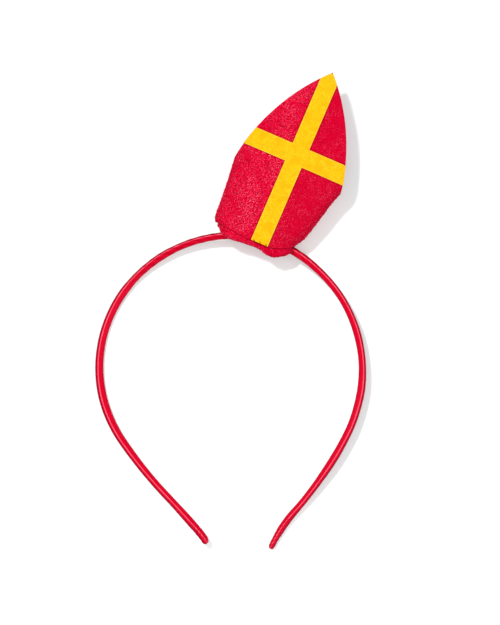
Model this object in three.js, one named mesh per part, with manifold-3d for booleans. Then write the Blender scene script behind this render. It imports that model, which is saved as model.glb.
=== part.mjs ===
// Saint Nicholas headband: a thin satin covered headband with a small hollow felt mitre, lying on
// its back on a flat surface. Millimetres, +Z up, +Y from the open ends to the crown of the band.
import * as THREE from 'three';
import { mergeVertices } from 'three/addons/utils/BufferGeometryUtils.js';
import Module from 'manifold-3d';

const wasm = await Module();
wasm.setup();

// Driving sizes
const SIDE_LENGTH = 207.4; // centre line of the band from its apex to either tip
const BAND_THICK = 3.4; // across the band, seen from above
const BAND_WIDE = 4.0; // along Z
const BAND_CORNER = 1.2;
const TIP_ROUND = 2.6; // length of the rounding at either tip
const BAND_STEP = 3.6; // spacing of the band's sections

const MITRE_HEIGHT = 93;
const MITRE_HALF_WIDTH = 28; // at the shoulders
const MITRE_DEPTH = 27.2; // front to back at the shoulders
const FELT = 1.5;
const VALLEY_UP = 36; // height of the side seams, and of the low point between the two peaks
const VALLEY_RISE = 3; // how steeply the cut edge rises from there
const PEAK_HALF_WIDTH = 28.2; // where the peak's arched edges start, level with the valley
const PEAK_SAG = 5; // bulge of the arched edge over its chord
const MITRE_ALONG = 16.2; // from the band's apex to the mitre's middle line, along the right side
const MITRE_SEAT = 2.8; // from the band's centre line in to the mitre's base line
const MITRE_TWIST = 10.5; // degrees that the mitre leans clockwise from square to the band

const RIM_RIGHT_RISE = 5.4; // of the mitre's lower rim at its right side, over its base line
const RIM_LEFT_RISE = 1.6;

const CROSS_BAR = 9; // width of the upright bar
const CROSS_ARM = 9.6; // width of the cross arm
const CROSS_ARM_UP = 43.3; // lower edge of the arm
const CROSS_FOOT_UP = 0.5; // lower edge of the upright bar
const CROSS_TOP_DOWN = 0.6; // from the tip of the peak to the end of the upright bar
const CROSS_THICK = 0.9;

const PAD_THICK = 2.7;
const PAD_EDGE_THICK = 1.3;
const PAD_INSET = 0.6; // from the mitre's outline
const PAD_FLAT = 0.5; // share of the way out to which the pad is flat
const PAD_FULL = 0.8; // share of the way out to which it has its whole thickness

const GAP = 0.3; // between pieces that touch

// The band's outline: a row per arc, its length as a share of SIDE_LENGTH and its turn in degrees.
const LEFT_ARCS = [
  { length: 0.221, turn: 38.0 },
  { length: 0.455, turn: 83.2 },
  { length: 0.171, turn: 9.4 },
  { length: 0.153, turn: -3.5 },
];
const RIGHT_ARCS = [
  { length: 0.157, turn: 31.4 },
  { length: 0.511, turn: 88.1 },
  { length: 0.229, turn: 14.5 },
  { length: 0.103, turn: -15.7 },
];

// The band's height over the surface: at is a share of SIDE_LENGTH, and lift is 0 where the band
// lies on the surface and 1 where it is level with the middle of the mitre's base.
const LEFT_LIFTS = [
  { at: 0, lift: 1 },
  { at: 0.02, lift: 0.98 },
  { at: 0.1, lift: 0.82 },
  { at: 0.21, lift: 0.42 },
  { at: 0.3, lift: 0.12 },
  { at: 0.38, lift: 0 },
  { at: 0.54, lift: 0 },
  { at: 0.66, lift: 0.18 },
  { at: 1, lift: 0.68 },
];
const RIGHT_LIFTS = [
  { at: 0, lift: 1 },
  { at: 0.17, lift: 0.99 },
  { at: 0.4, lift: 0.85 },
  { at: 0.62, lift: 0.84 },
  { at: 0.74, lift: 0.69 },
  { at: 0.86, lift: 0.33 },
  { at: 0.975, lift: 0 },
  { at: 1, lift: 0 },
];

// Thickness of the band along a side: swell is a share of BAND_THICK.
const SWELLS = [
  { at: 0, swell: 1 },
  { at: 0.85, swell: 1 },
  { at: 0.94, swell: 1.14 },
  { at: 1, swell: 0.84 },
];

// Sections of the mitre: up is a share of MITRE_HEIGHT, left and right are shares of
// MITRE_HALF_WIDTH, deep is a share of MITRE_DEPTH, and square says how flat the faces are.
const MITRE_ROWS = [
  { up: -0.02, left: 0.76, right: 0.53, deep: 0.82, square: 2.4 },
  { up: 0.02, left: 0.835, right: 0.585, deep: 0.835, square: 2.4 },
  { up: 0.06, left: 0.91, right: 0.63, deep: 0.85, square: 2.5 },
  { up: 0.12, left: 0.925, right: 0.725, deep: 0.88, square: 2.6 },
  { up: 0.24, left: 0.953, right: 0.835, deep: 0.95, square: 3 },
  { up: 0.32, left: 0.982, right: 0.89, deep: 0.985, square: 3.2 },
  { up: 0.387, left: 1, right: 0.935, deep: 1, square: 3.4 },
  { up: 0.43, left: 1.02, right: 1.01, deep: 1, square: 3.8 },
  { up: 0.47, left: 1.05, right: 1.05, deep: 1, square: 4.2 },
  { up: 0.65, left: 1.18, right: 1.18, deep: 1, square: 5 },
  { up: 1, left: 1.25, right: 1.25, deep: 1, square: 5 },
];

// Shape of the mitre's lower rim: from is the share of the half width at which it leaves the base
// line, and power says how late it bends up.
const RIM_RIGHT = { rise: RIM_RIGHT_RISE, from: 0.35, power: 2 };
const RIM_LEFT = { rise: RIM_LEFT_RISE, from: 0, power: 1.5 };

// How finely the pieces are divided
const WALL_COLUMNS = 40;
const WALL_ROWS = 16;
const PAD_SPOKES = 36;
const PAD_RINGS = [0.5, 0.66, 0.8, 0.92, 1];
const TIP_RINGS = [0.45, 0.75, 0.93]; // shares of the rounding's length
const CROSS_STEP = 2.4;
const CORNER_POINTS = 3; // per corner of the band's section
const FINE_STEPS = 2000; // for measuring a section's length
const BISECTIONS = 40;
const SLIVER = 1e-3; // keeps a share clear of its limit
const SAME = 1e-6; // two heights closer than this are one

// The value of a table's column at a place, on a smooth curve through its rows.
function between(rows, place, column, at) {
  const last = rows.length - 1;
  if (at <= rows[0][place]) return rows[0][column];
  if (at >= rows[last][place]) return rows[last][column];
  const i = rows.findIndex((row) => row[place] > at) - 1;
  const slope = (k) => {
    if (k <= 0 || k >= last) return 0;
    const before = (rows[k][column] - rows[k - 1][column]) / (rows[k][place] - rows[k - 1][place]);
    const after = (rows[k + 1][column] - rows[k][column]) / (rows[k + 1][place] - rows[k][place]);
    return before * after <= 0 ? 0 : (2 * before * after) / (before + after);
  };
  const span = rows[i + 1][place] - rows[i][place];
  const t = (at - rows[i][place]) / span;
  const start = rows[i][column];
  const end = rows[i + 1][column];
  const blend = t * t * (3 - 2 * t);
  const lean = t * (1 - t) * (1 - t) * slope(i) - t * t * (1 - t) * slope(i + 1);
  return start + (end - start) * blend + span * lean;
}

// A closed mesh from points and triangles.
function solidOf(points, triangles) {
  const geometry = new THREE.BufferGeometry();
  geometry.setAttribute('position', new THREE.Float32BufferAttribute(points.flat(), 3));
  geometry.setIndex(triangles.flat());
  return geometry;
}

// A closed body through rings of equal length, with a fan over each end.
function loft(rings) {
  const size = rings[0].length;
  const points = rings.flat();
  const triangles = [];
  for (let i = 0; i + 1 < rings.length; i += 1) {
    for (let j = 0; j < size; j += 1) {
      const a = i * size + j;
      const b = i * size + ((j + 1) % size);
      triangles.push([a, b, b + size], [a, b + size, a + size]);
    }
  }
  const middle = (ring) => [0, 1, 2].map((k) => ring.reduce((sum, p) => sum + p[k], 0) / size);
  const first = points.length;
  points.push(middle(rings[0]), middle(rings[rings.length - 1]));
  const base = (rings.length - 1) * size;
  for (let j = 0; j < size; j += 1) {
    const next = (j + 1) % size;
    triangles.push([first, next, j], [first + 1, base + j, base + next]);
  }
  return solidOf(points, triangles);
}

// Section of the mitre at a height over its base line.
const sectionAt = (up) => {
  const share = up / MITRE_HEIGHT;
  const left = -MITRE_HALF_WIDTH * between(MITRE_ROWS, 'up', 'left', share);
  const right = MITRE_HALF_WIDTH * between(MITRE_ROWS, 'up', 'right', share);
  const deep = MITRE_DEPTH * between(MITRE_ROWS, 'up', 'deep', share);
  return {
    middle: (left + right) / 2,
    half: (right - left) / 2,
    deep: deep / 2,
    square: between(MITRE_ROWS, 'up', 'square', share),
  };
};
const BASE_LEVEL = sectionAt(0).deep; // the middle of the base, which the band passes through

// Place of the band's centre line on one side, at a distance from the apex.
function bandAt(side, along) {
  const arcs = side < 0 ? LEFT_ARCS : RIGHT_ARCS;
  const lifts = side < 0 ? LEFT_LIFTS : RIGHT_LIFTS;
  let x = 0;
  let y = 0;
  let heading = 0;
  let left = along;
  for (const arc of arcs) {
    const whole = arc.length * SIDE_LENGTH;
    const part = arc === arcs[arcs.length - 1] ? left : Math.min(left, whole);
    const bend = THREE.MathUtils.degToRad(arc.turn) / whole;
    x += (Math.sin(heading + bend * part) - Math.sin(heading)) / bend;
    y += (Math.cos(heading + bend * part) - Math.cos(heading)) / bend;
    heading += bend * part;
    left -= part;
    if (left <= 0) break;
  }
  const lift = between(lifts, 'at', 'lift', along / SIDE_LENGTH);
  const z = BAND_WIDE / 2 + lift * (BASE_LEVEL - BAND_WIDE / 2);
  return { x: side * x, y, z, heading: side * heading };
}

// The band's section around the origin: out of the band along u, up along v.
function bandSection(thick, wide, corner) {
  const points = [];
  const quarter = Math.PI / 2;
  for (let c = 0; c < 4; c += 1) {
    const u = (c === 0 || c === 3 ? 1 : -1) * (thick / 2 - corner);
    const v = (c < 2 ? 1 : -1) * (wide / 2 - corner);
    for (let k = 0; k < CORNER_POINTS; k += 1) {
      const angle = quarter * (c + k / (CORNER_POINTS - 1));
      points.push([u + corner * Math.cos(angle), v + corner * Math.sin(angle)]);
    }
  }
  return points;
}

// A ring of the band: place is signed, negative on the left side.
function bandRing(place, grow, shrink) {
  const at = bandAt(place < 0 ? -1 : 1, Math.abs(place));
  const share = Math.abs(place) / SIDE_LENGTH;
  const thick = BAND_THICK * between(SWELLS, 'at', 'swell', share) * shrink + 2 * grow;
  const wide = BAND_WIDE * shrink + 2 * grow;
  const out = [Math.sin(at.heading), Math.cos(at.heading)];
  return bandSection(thick, wide, BAND_CORNER * shrink + grow).map(([u, v]) => [
    at.x + u * out[0],
    at.y + u * out[1],
    at.z + v,
  ]);
}

// Values from one to another, both included, at most a step apart.
function steps(from, to, step) {
  const count = Math.ceil((to - from) / step);
  return Array.from({ length: count + 1 }, (_, i) => from + ((to - from) * i) / count);
}

function headband() {
  const straight = SIDE_LENGTH - TIP_ROUND;
  const tip = TIP_RINGS.map((share) => ({
    place: straight + TIP_ROUND * share,
    shrink: Math.sqrt(1 - share * share),
  }));
  const rings = [
    ...[...tip].reverse().map(({ place, shrink }) => bandRing(-place, 0, shrink)),
    ...steps(-straight, straight, BAND_STEP).map((place) => bandRing(place, 0, 1)),
    ...tip.map(({ place, shrink }) => bandRing(place, 0, shrink)),
  ];
  return loft(rings);
}

// Half width of the peak at a height, on an arc from the valley's level to the tip.
function peakHalfWidth(up) {
  const rise = MITRE_HEIGHT - VALLEY_UP;
  const chord = Math.hypot(rise, PEAK_HALF_WIDTH);
  const radius = (chord * chord) / (8 * PEAK_SAG) + PEAK_SAG / 2;
  const centre = new THREE.Vector2(PEAK_HALF_WIDTH / 2, VALLEY_UP + rise / 2);
  const inward = new THREE.Vector2(-rise, -PEAK_HALF_WIDTH).divideScalar(chord);
  centre.addScaledVector(inward, radius - PEAK_SAG);
  return centre.x + Math.sqrt(Math.max(0, radius ** 2 - (up - centre.y) ** 2));
}

// Shares across and deep of a point on the section, with the angle counted from the right seam.
function sectionShares(angle, square) {
  const across = Math.sign(Math.cos(angle)) * Math.abs(Math.cos(angle)) ** (2 / square);
  const deep = Math.sign(Math.sin(angle)) * Math.abs(Math.sin(angle)) ** (2 / square);
  return { across, deep };
}

// Point on the mitre's outer face or, inset, inside it; z is 0 at the middle of its depth.
function mitrePoint(angle, up, inset) {
  const { middle, half, deep, square } = sectionAt(up);
  const share = sectionShares(angle, square);
  const x = middle + half * share.across;
  const z = deep * share.deep;
  const slope = new THREE.Vector2(
    (Math.sign(share.across) * Math.abs(share.across) ** (square - 1)) / half,
    (Math.sign(share.deep) * Math.abs(share.deep) ** (square - 1)) / deep,
  ).normalize();
  return [x - inset * slope.x, up, z - inset * slope.y];
}

// Height of the mitre's lower rim over its base line, at an angle round the section.
function rimUp(angle) {
  const { across } = sectionShares(angle, sectionAt(0).square);
  const rim = across > 0 ? RIM_RIGHT : RIM_LEFT;
  const t = Math.max(0, (Math.abs(across) - rim.from) / (1 - rim.from));
  return rim.rise * t ** rim.power;
}

// Height of the cut edge at an angle: the side valley, or the peak's arched edge.
function cutUp(angle) {
  const outside = (up) => {
    const { middle, half, square } = sectionAt(up);
    const share = sectionShares(angle, square);
    const valley = VALLEY_UP + (VALLEY_RISE * share.deep) / (1 + SLIVER - share.deep);
    return up > valley || Math.abs(middle + half * share.across) > peakHalfWidth(up);
  };
  let low = VALLEY_UP;
  let high = MITRE_HEIGHT;
  for (let i = 0; i < BISECTIONS; i += 1) {
    const up = (low + high) / 2;
    if (outside(up)) high = up;
    else low = up;
  }
  return low;
}

// Angles that divide the section's front half evenly by length.
function wallAngles() {
  const { half, deep, square } = sectionAt(VALLEY_UP);
  const at = (i) => {
    const share = sectionShares((Math.PI * i) / FINE_STEPS, square);
    return new THREE.Vector2(half * share.across, deep * share.deep);
  };
  const lengths = [0];
  for (let i = 1; i <= FINE_STEPS; i += 1) {
    lengths.push(lengths[i - 1] + at(i).distanceTo(at(i - 1)));
  }
  return Array.from({ length: WALL_COLUMNS + 1 }, (_, j) => {
    if (j === WALL_COLUMNS) return Math.PI;
    if (2 * j === WALL_COLUMNS) return Math.PI / 2;
    const want = (lengths[FINE_STEPS] * j) / WALL_COLUMNS;
    return (Math.PI * lengths.findIndex((length) => length >= want)) / FINE_STEPS;
  });
}

// One felt wall of the mitre, from seam to seam: face is 1 for the front and -1 for the back.
function mitreWall(face) {
  const columns = WALL_COLUMNS + 1;
  const layer = (WALL_ROWS + 1) * columns;
  const points = [];
  const triangles = [];
  for (const inset of [0, FELT]) {
    for (let i = 0; i <= WALL_ROWS; i += 1) {
      for (const [j, angle] of wallAngles().entries()) {
        const seam = j === 0 || j === WALL_COLUMNS;
        const low = rimUp(angle);
        const up = low + ((cutUp(angle) - low) * i) / WALL_ROWS;
        const [x, y, z] = mitrePoint(angle, up, inset);
        const out = seam ? GAP / 2 : Math.max(z, GAP / 2);
        points.push([x, y, sectionAt(up).deep + face * out]);
      }
    }
  }
  const quad = (a, b, c, d) => {
    if (face < 0) triangles.push([a, b, c], [a, c, d]);
    else triangles.push([a, c, b], [a, d, c]);
  };
  const at = (i, j) => i * columns + j;
  for (let i = 0; i < WALL_ROWS; i += 1) {
    for (let j = 0; j < WALL_COLUMNS; j += 1) {
      const [a, b, c, d] = [at(i, j), at(i + 1, j), at(i + 1, j + 1), at(i, j + 1)];
      quad(d, c, b, a);
      quad(layer + a, layer + b, layer + c, layer + d);
    }
    for (const j of [0, WALL_COLUMNS]) {
      const [a, b] = j === 0 ? [at(i, j), at(i + 1, j)] : [at(i + 1, j), at(i, j)];
      quad(a, b, layer + b, layer + a);
    }
  }
  for (let j = 0; j < WALL_COLUMNS; j += 1) {
    const [low, next] = [at(0, j), at(0, j + 1)];
    quad(next, low, layer + low, layer + next);
    const [top, after] = [at(WALL_ROWS, j), at(WALL_ROWS, j + 1)];
    quad(top, after, layer + after, layer + top);
  }
  return solidOf(points, triangles);
}

// Height over the surface of the mitre's front face at a point of it.
function frontLevel(x, up) {
  const { middle, half, deep, square } = sectionAt(up);
  const share = Math.min(1, Math.abs(x - middle) / half);
  return deep + deep * (1 - share ** square) ** (1 / square);
}

// The felt cross, laid over the front wall: a grid of cells, the arm's beside the upright bar's.
function cross() {
  const armTop = CROSS_ARM_UP + CROSS_ARM;
  const rows = [
    ...steps(CROSS_FOOT_UP, CROSS_ARM_UP, CROSS_STEP),
    ...steps(CROSS_ARM_UP, armTop, CROSS_STEP).slice(1),
    ...steps(armTop, MITRE_HEIGHT - CROSS_TOP_DOWN, CROSS_STEP).slice(1),
  ];
  const side = Math.ceil((PEAK_HALF_WIDTH - CROSS_BAR / 2) / CROSS_STEP);
  const bar = Math.ceil(CROSS_BAR / CROSS_STEP);
  const width = 2 * side + bar;
  const across = (k, up) => {
    const end = peakHalfWidth(up);
    const half = Math.min(CROSS_BAR / 2, end);
    if (k < side) return -end + ((end - half) * k) / side;
    if (k > side + bar) return half + ((end - half) * (k - side - bar)) / side;
    return -half + (2 * half * (k - side)) / bar;
  };
  const points = [];
  const places = new Map();
  const place = (i, k, top) => {
    const key = `${i} ${k} ${top}`;
    if (!places.has(key)) {
      const x = across(k, rows[i]);
      places.set(key, points.length);
      points.push([x, rows[i], frontLevel(x, rows[i]) + GAP + (top ? CROSS_THICK : 0)]);
    }
    return places.get(key);
  };
  const inArm = (i) => rows[i] > CROSS_ARM_UP - SAME && rows[i + 1] < armTop + SAME;
  const filled = (i, k) => i >= 0 && i + 1 < rows.length && k >= 0 && k < width
    && (inArm(i) || (k >= side && k < side + bar));
  const triangles = [];
  const quad = (a, b, c, d) => triangles.push([a, b, c], [a, c, d]);
  const edge = (i, k, m, n) => {
    quad(place(i, k, true), place(i, k, false), place(m, n, false), place(m, n, true));
  };
  for (let i = 0; i + 1 < rows.length; i += 1) {
    for (let k = 0; k < width; k += 1) {
      if (filled(i, k)) {
        quad(place(i, k, true), place(i, k + 1, true), place(i + 1, k + 1, true), place(i + 1, k, true));
        quad(place(i, k, false), place(i + 1, k, false), place(i + 1, k + 1, false), place(i, k + 1, false));
        if (!filled(i - 1, k)) edge(i, k, i, k + 1);
        if (!filled(i, k + 1)) edge(i, k + 1, i + 1, k + 1);
        if (!filled(i + 1, k)) edge(i + 1, k + 1, i + 1, k);
        if (!filled(i, k - 1)) edge(i + 1, k, i, k);
      }
    }
  }
  return solidOf(points, triangles);
}

// A point of the felt pad, at a share of the way out to its edge.
function padPoint(angle, share, top) {
  const turned = angle > Math.PI ? 2 * Math.PI - angle : angle;
  const rim = rimUp(turned);
  const [x, , z] = mitrePoint(turned, rim, PAD_INSET);
  const { middle } = sectionAt(0);
  const climb = Math.max(0, (share - PAD_FLAT) / (1 - PAD_FLAT)) ** 3;
  const thin = THREE.MathUtils.smoothstep(share, PAD_FULL, 1) * (PAD_THICK - PAD_EDGE_THICK);
  const up = rim * climb - GAP - (top ? 0 : PAD_THICK - thin);
  return [middle + (x - middle) * share, up, BASE_LEVEL + Math.sign(Math.PI - angle) * z * share];
}

// The felt pad that closes the mitre's base, before it is slit for the band.
function wholePad() {
  const angles = Array.from({ length: PAD_SPOKES }, (_, k) => (2 * Math.PI * (k + 0.5)) / PAD_SPOKES);
  const ring = (share, top) => angles.map((angle) => padPoint(angle, share, top));
  return loft([
    ...PAD_RINGS.map((share) => ring(share, true)),
    ...[...PAD_RINGS].reverse().map((share) => ring(share, false)),
  ]);
}

function manifoldOf(geometry) {
  const bare = geometry.clone();
  bare.deleteAttribute('normal');
  bare.deleteAttribute('uv');
  const merged = mergeVertices(bare);
  return new wasm.Manifold(new wasm.Mesh({
    numProp: 3,
    vertProperties: new Float32Array(merged.attributes.position.array),
    triVerts: new Uint32Array(merged.index.array),
  }));
}

function geometryOf(manifold) {
  const mesh = manifold.getMesh();
  const geometry = new THREE.BufferGeometry();
  geometry.setAttribute('position', new THREE.BufferAttribute(mesh.vertProperties, 3));
  geometry.setIndex(new THREE.BufferAttribute(mesh.triVerts, 1));
  return geometry;
}

// The pad with a slit where the band passes through it, in the mitre's own frame.
function basePad(mitreFrame) {
  const reach = 2 * MITRE_HALF_WIDTH;
  const places = steps(MITRE_ALONG - reach, MITRE_ALONG + reach, BAND_STEP);
  const channel = loft(places.map((place) => bandRing(place, GAP, 1)));
  channel.applyMatrix4(mitreFrame.matrix.clone().invert());
  return geometryOf(manifoldOf(wholePad()).subtract(manifoldOf(channel)));
}

function piece(name, geometry, color, roughness) {
  const material = new THREE.MeshStandardMaterial({ color, roughness, metalness: 0 });
  const mesh = new THREE.Mesh(geometry, material);
  mesh.name = name;
  return mesh;
}

const SATIN_RED = 0xe0082f;
const FELT_RED = 0xcc0a2e;
const FELT_YELLOW = 0xffd20f;
const SATIN_ROUGHNESS = 0.35;
const FELT_ROUGHNESS = 0.95;

const seat = bandAt(1, MITRE_ALONG);
const mitre = new THREE.Group();
mitre.position.set(
  seat.x - MITRE_SEAT * Math.sin(seat.heading),
  seat.y - MITRE_SEAT * Math.cos(seat.heading),
  0,
);
mitre.rotation.z = -(seat.heading + THREE.MathUtils.degToRad(MITRE_TWIST));
mitre.updateMatrix();
mitre.add(
  piece('mitre_front', mitreWall(1), FELT_RED, FELT_ROUGHNESS),
  piece('mitre_back', mitreWall(-1), FELT_RED, FELT_ROUGHNESS),
  piece('cross', cross(), FELT_YELLOW, FELT_ROUGHNESS),
  piece('base_pad', basePad(mitre), FELT_RED, FELT_ROUGHNESS),
);

const group = new THREE.Group();
group.add(piece('headband', headband(), SATIN_RED, SATIN_ROUGHNESS), mitre);

// The origin is at the middle of the object's outline, on the surface that it lies on.
const box = new THREE.Box3().setFromObject(group, true);
group.position.set(-(box.min.x + box.max.x) / 2, -(box.min.y + box.max.y) / 2, -box.min.z);
group.updateMatrixWorld(true);

export default group;
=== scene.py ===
"""Looks of a thin satin covered headband with a small felt mitre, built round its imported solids."""

import logging
import math
from dataclasses import dataclass, field
from enum import Enum
from functools import cached_property

import bpy
import numpy as np
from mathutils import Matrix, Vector, noise


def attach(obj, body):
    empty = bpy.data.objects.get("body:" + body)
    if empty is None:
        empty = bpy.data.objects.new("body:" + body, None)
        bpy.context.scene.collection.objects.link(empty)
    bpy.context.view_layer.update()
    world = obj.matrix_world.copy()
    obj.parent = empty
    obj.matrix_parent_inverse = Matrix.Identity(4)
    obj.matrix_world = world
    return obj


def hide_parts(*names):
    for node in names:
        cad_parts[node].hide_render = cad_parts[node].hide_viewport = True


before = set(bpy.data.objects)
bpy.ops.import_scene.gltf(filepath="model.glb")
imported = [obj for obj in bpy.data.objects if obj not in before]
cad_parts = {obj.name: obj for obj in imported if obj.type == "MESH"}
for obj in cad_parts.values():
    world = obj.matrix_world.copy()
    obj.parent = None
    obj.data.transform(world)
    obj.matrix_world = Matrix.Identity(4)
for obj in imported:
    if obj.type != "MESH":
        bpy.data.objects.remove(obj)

MM = 0.001
LOG = logging.getLogger("headband")
Rows = tuple[tuple[float, ...], ...]


class Face(Enum):
    """The two felt walls of the mitre, named by the side that they make."""

    FRONT = 1
    BACK = -1


class Slot(Enum):
    """Material slots of the record."""

    SATIN = "satin"
    RED_FELT = "red_felt"
    YELLOW_FELT = "yellow_felt"


def between(rows: Rows, column: int, at: float) -> float:
    """Reads a table at a place, on a smooth curve through its rows.

    Args:
        rows: the table, with the place in each row's first column.
        column: the column that is read.
        at: the place.

    Returns:
        The column's value there.
    """
    last = len(rows) - 1
    if at <= rows[0][0]:
        return rows[0][column]
    if at >= rows[last][0]:
        return rows[last][column]
    i = next(k for k, row in enumerate(rows) if row[0] > at) - 1

    def slope(k: int) -> float:
        """Slope of the curve at a row, flat where the column turns.

        Args:
            k: the row's number.

        Returns:
            The slope there.
        """
        if k <= 0 or k >= last:
            return 0.0
        before = (rows[k][column] - rows[k - 1][column]) / (rows[k][0] - rows[k - 1][0])
        after = (rows[k + 1][column] - rows[k][column]) / (rows[k + 1][0] - rows[k][0])
        return 0.0 if before * after <= 0 else 2 * before * after / (before + after)

    span = rows[i + 1][0] - rows[i][0]
    t = (at - rows[i][0]) / span
    start, end = rows[i][column], rows[i + 1][column]
    lean = t * (1 - t) * (1 - t) * slope(i) - t * t * (1 - t) * slope(i + 1)
    return start + (end - start) * t * t * (3 - 2 * t) + span * lean


def smoothstep(value: np.ndarray, low: float, high: float) -> np.ndarray:
    """Rises smoothly from 0 at low to 1 at high."""
    t = np.clip((value - low) / (high - low), 0.0, 1.0)
    return t * t * (3 - 2 * t)


def wander(points: np.ndarray, size: float, seed: float, octaves: int = 2) -> np.ndarray:
    """Smooth noise at points.

    Args:
        points: places, one to a row, in metres.
        size: size of a lump, in metres.
        seed: shifts the pattern.
        octaves: layers of ever finer noise.

    Returns:
        A value from about -1 to 1 at each point.
    """
    shift = Vector((seed, -2.3 * seed, 0.7 * seed))
    return np.array(
        [noise.fractal(Vector(p) / size + shift, 1.0, 2.1, octaves) for p in points.tolist()]
    )


@dataclass(frozen=True)
class CrossOutline:
    """Where the cross's edges run, in the mitre's own frame."""

    bar_half: float = 4.5 * MM
    arm_low: float = 43.3 * MM
    arm_high: float = 52.9 * MM


@dataclass(frozen=True)
class LocalFrame:
    """Place and turn of the mitre, for finishes that follow its parts."""

    origin: tuple[float, float, float]
    lean: float
    cross: CrossOutline = CrossOutline()


# Materials


class Shader:
    """A node material on one Principled shader."""

    def __init__(self, name: str) -> None:
        """Starts a material with a plain Principled shader.

        Args:
            name: the material's name.
        """
        self.material = bpy.data.materials.new(name)
        self.material.use_nodes = True
        self.tree = self.material.node_tree
        self.principled = self.tree.nodes["Principled BSDF"]

    def add(self, kind: str, **settings: object) -> bpy.types.Node:
        """Adds a node.

        Args:
            kind: the node's type, such as ShaderNodeMath.
            settings: properties of the node, by name.

        Returns:
            The new node.
        """
        node = self.tree.nodes.new(kind)
        for name, value in settings.items():
            setattr(node, name, value)
        return node

    def join(self, source: object, target: object) -> None:
        """Links an output socket to an input socket."""
        self.tree.links.new(source, target)

    def set(self, **values: object) -> None:
        """Sets constants on the Principled shader, with _ for each space of a socket's name."""
        for name, value in values.items():
            self.principled.inputs[name.replace("_", " ")].default_value = value

    def coordinates(self, kind: str = "Object") -> object:
        """The texture coordinates of that kind."""
        return self.add("ShaderNodeTexCoord").outputs[kind]

    def mapped(self, source: object, place: tuple, turn: tuple, scale: tuple) -> object:
        """Coordinates in a frame that is moved, turned and scaled.

        Args:
            source: socket of the coordinates.
            place: where the frame's origin lies.
            turn: the frame's turn about each axis, in radians.
            scale: size of its unit along each axis.

        Returns:
            Socket of the coordinates in that frame.
        """
        node = self.add("ShaderNodeMapping", vector_type="TEXTURE")
        node.inputs["Location"].default_value = place
        node.inputs["Rotation"].default_value = turn
        node.inputs["Scale"].default_value = scale
        self.join(source, node.inputs["Vector"])
        return node.outputs["Vector"]

    def noise(self, source: object, scale: float, detail: float, rough: float, warp: float) -> object:
        """Smooth noise, whose value is about 0.5.

        Args:
            source: socket of the coordinates.
            scale: lumps to a unit of the coordinates.
            detail: layers of ever finer noise.
            rough: strength of each finer layer.
            warp: how far the pattern is distorted.

        Returns:
            Socket of the value.
        """
        node = self.add("ShaderNodeTexNoise")
        for name, value in zip(
            ("Scale", "Detail", "Roughness", "Distortion"), (scale, detail, rough, warp)
        ):
            node.inputs[name].default_value = value
        self.join(source, node.inputs["Vector"])
        return node.outputs["Fac"]

    def spread(self, source: object, low: float, high: float, to_low: float, to_high: float) -> object:
        """Maps a range smoothly onto another.

        Args:
            source: socket of the value.
            low: start of its range.
            high: end of its range.
            to_low: what the start becomes.
            to_high: what the end becomes.

        Returns:
            Socket of the mapped value.
        """
        node = self.add("ShaderNodeMapRange", interpolation_type="SMOOTHSTEP")
        for name, value in zip(
            ("From Min", "From Max", "To Min", "To Max"), (low, high, to_low, to_high)
        ):
            node.inputs[name].default_value = value
        self.join(source, node.inputs["Value"])
        return node.outputs["Result"]

    def math(self, operation: str, first: object, second: object) -> object:
        """Combines two values.

        Args:
            operation: what is done with them, such as MULTIPLY.
            first: a socket or a number.
            second: a socket or a number.

        Returns:
            Socket of the result.
        """
        node = self.add("ShaderNodeMath", operation=operation)
        for k, value in enumerate((first, second)):
            if isinstance(value, (int, float)):
                node.inputs[k].default_value = value
            else:
                self.join(value, node.inputs[k])
        return node.outputs[0]

    def blend(self, share: object, first: object, second: object) -> object:
        """Mixes two colours.

        Args:
            share: socket of the second colour's share.
            first: a socket or three numbers.
            second: a socket or three numbers.

        Returns:
            Socket of the mixed colour.
        """
        node = self.add("ShaderNodeMix", data_type="RGBA")
        self.join(share, node.inputs["Factor"])
        for name, value in (("A", first), ("B", second)):
            target = [s for s in node.inputs if s.name == name and s.type == "RGBA"][0]
            if isinstance(value, tuple):
                target.default_value = (*value, 1.0)
            else:
                self.join(value, target)
        return [s for s in node.outputs if s.type == "RGBA"][0]

    def bump(self, height: object, strength: float, distance: float, under: object = None) -> object:
        """A bump from a height.

        Args:
            height: socket of the height.
            strength: how strong the bump looks.
            distance: how high it is, in metres.
            under: socket of another bump that it lies over, if there is one.

        Returns:
            Socket of the bump.
        """
        node = self.add("ShaderNodeBump")
        node.inputs["Strength"].default_value = strength
        node.inputs["Distance"].default_value = distance
        self.join(height, node.inputs["Height"])
        if under is not None:
            self.join(under, node.inputs["Normal"])
        return node.outputs["Normal"]


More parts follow.
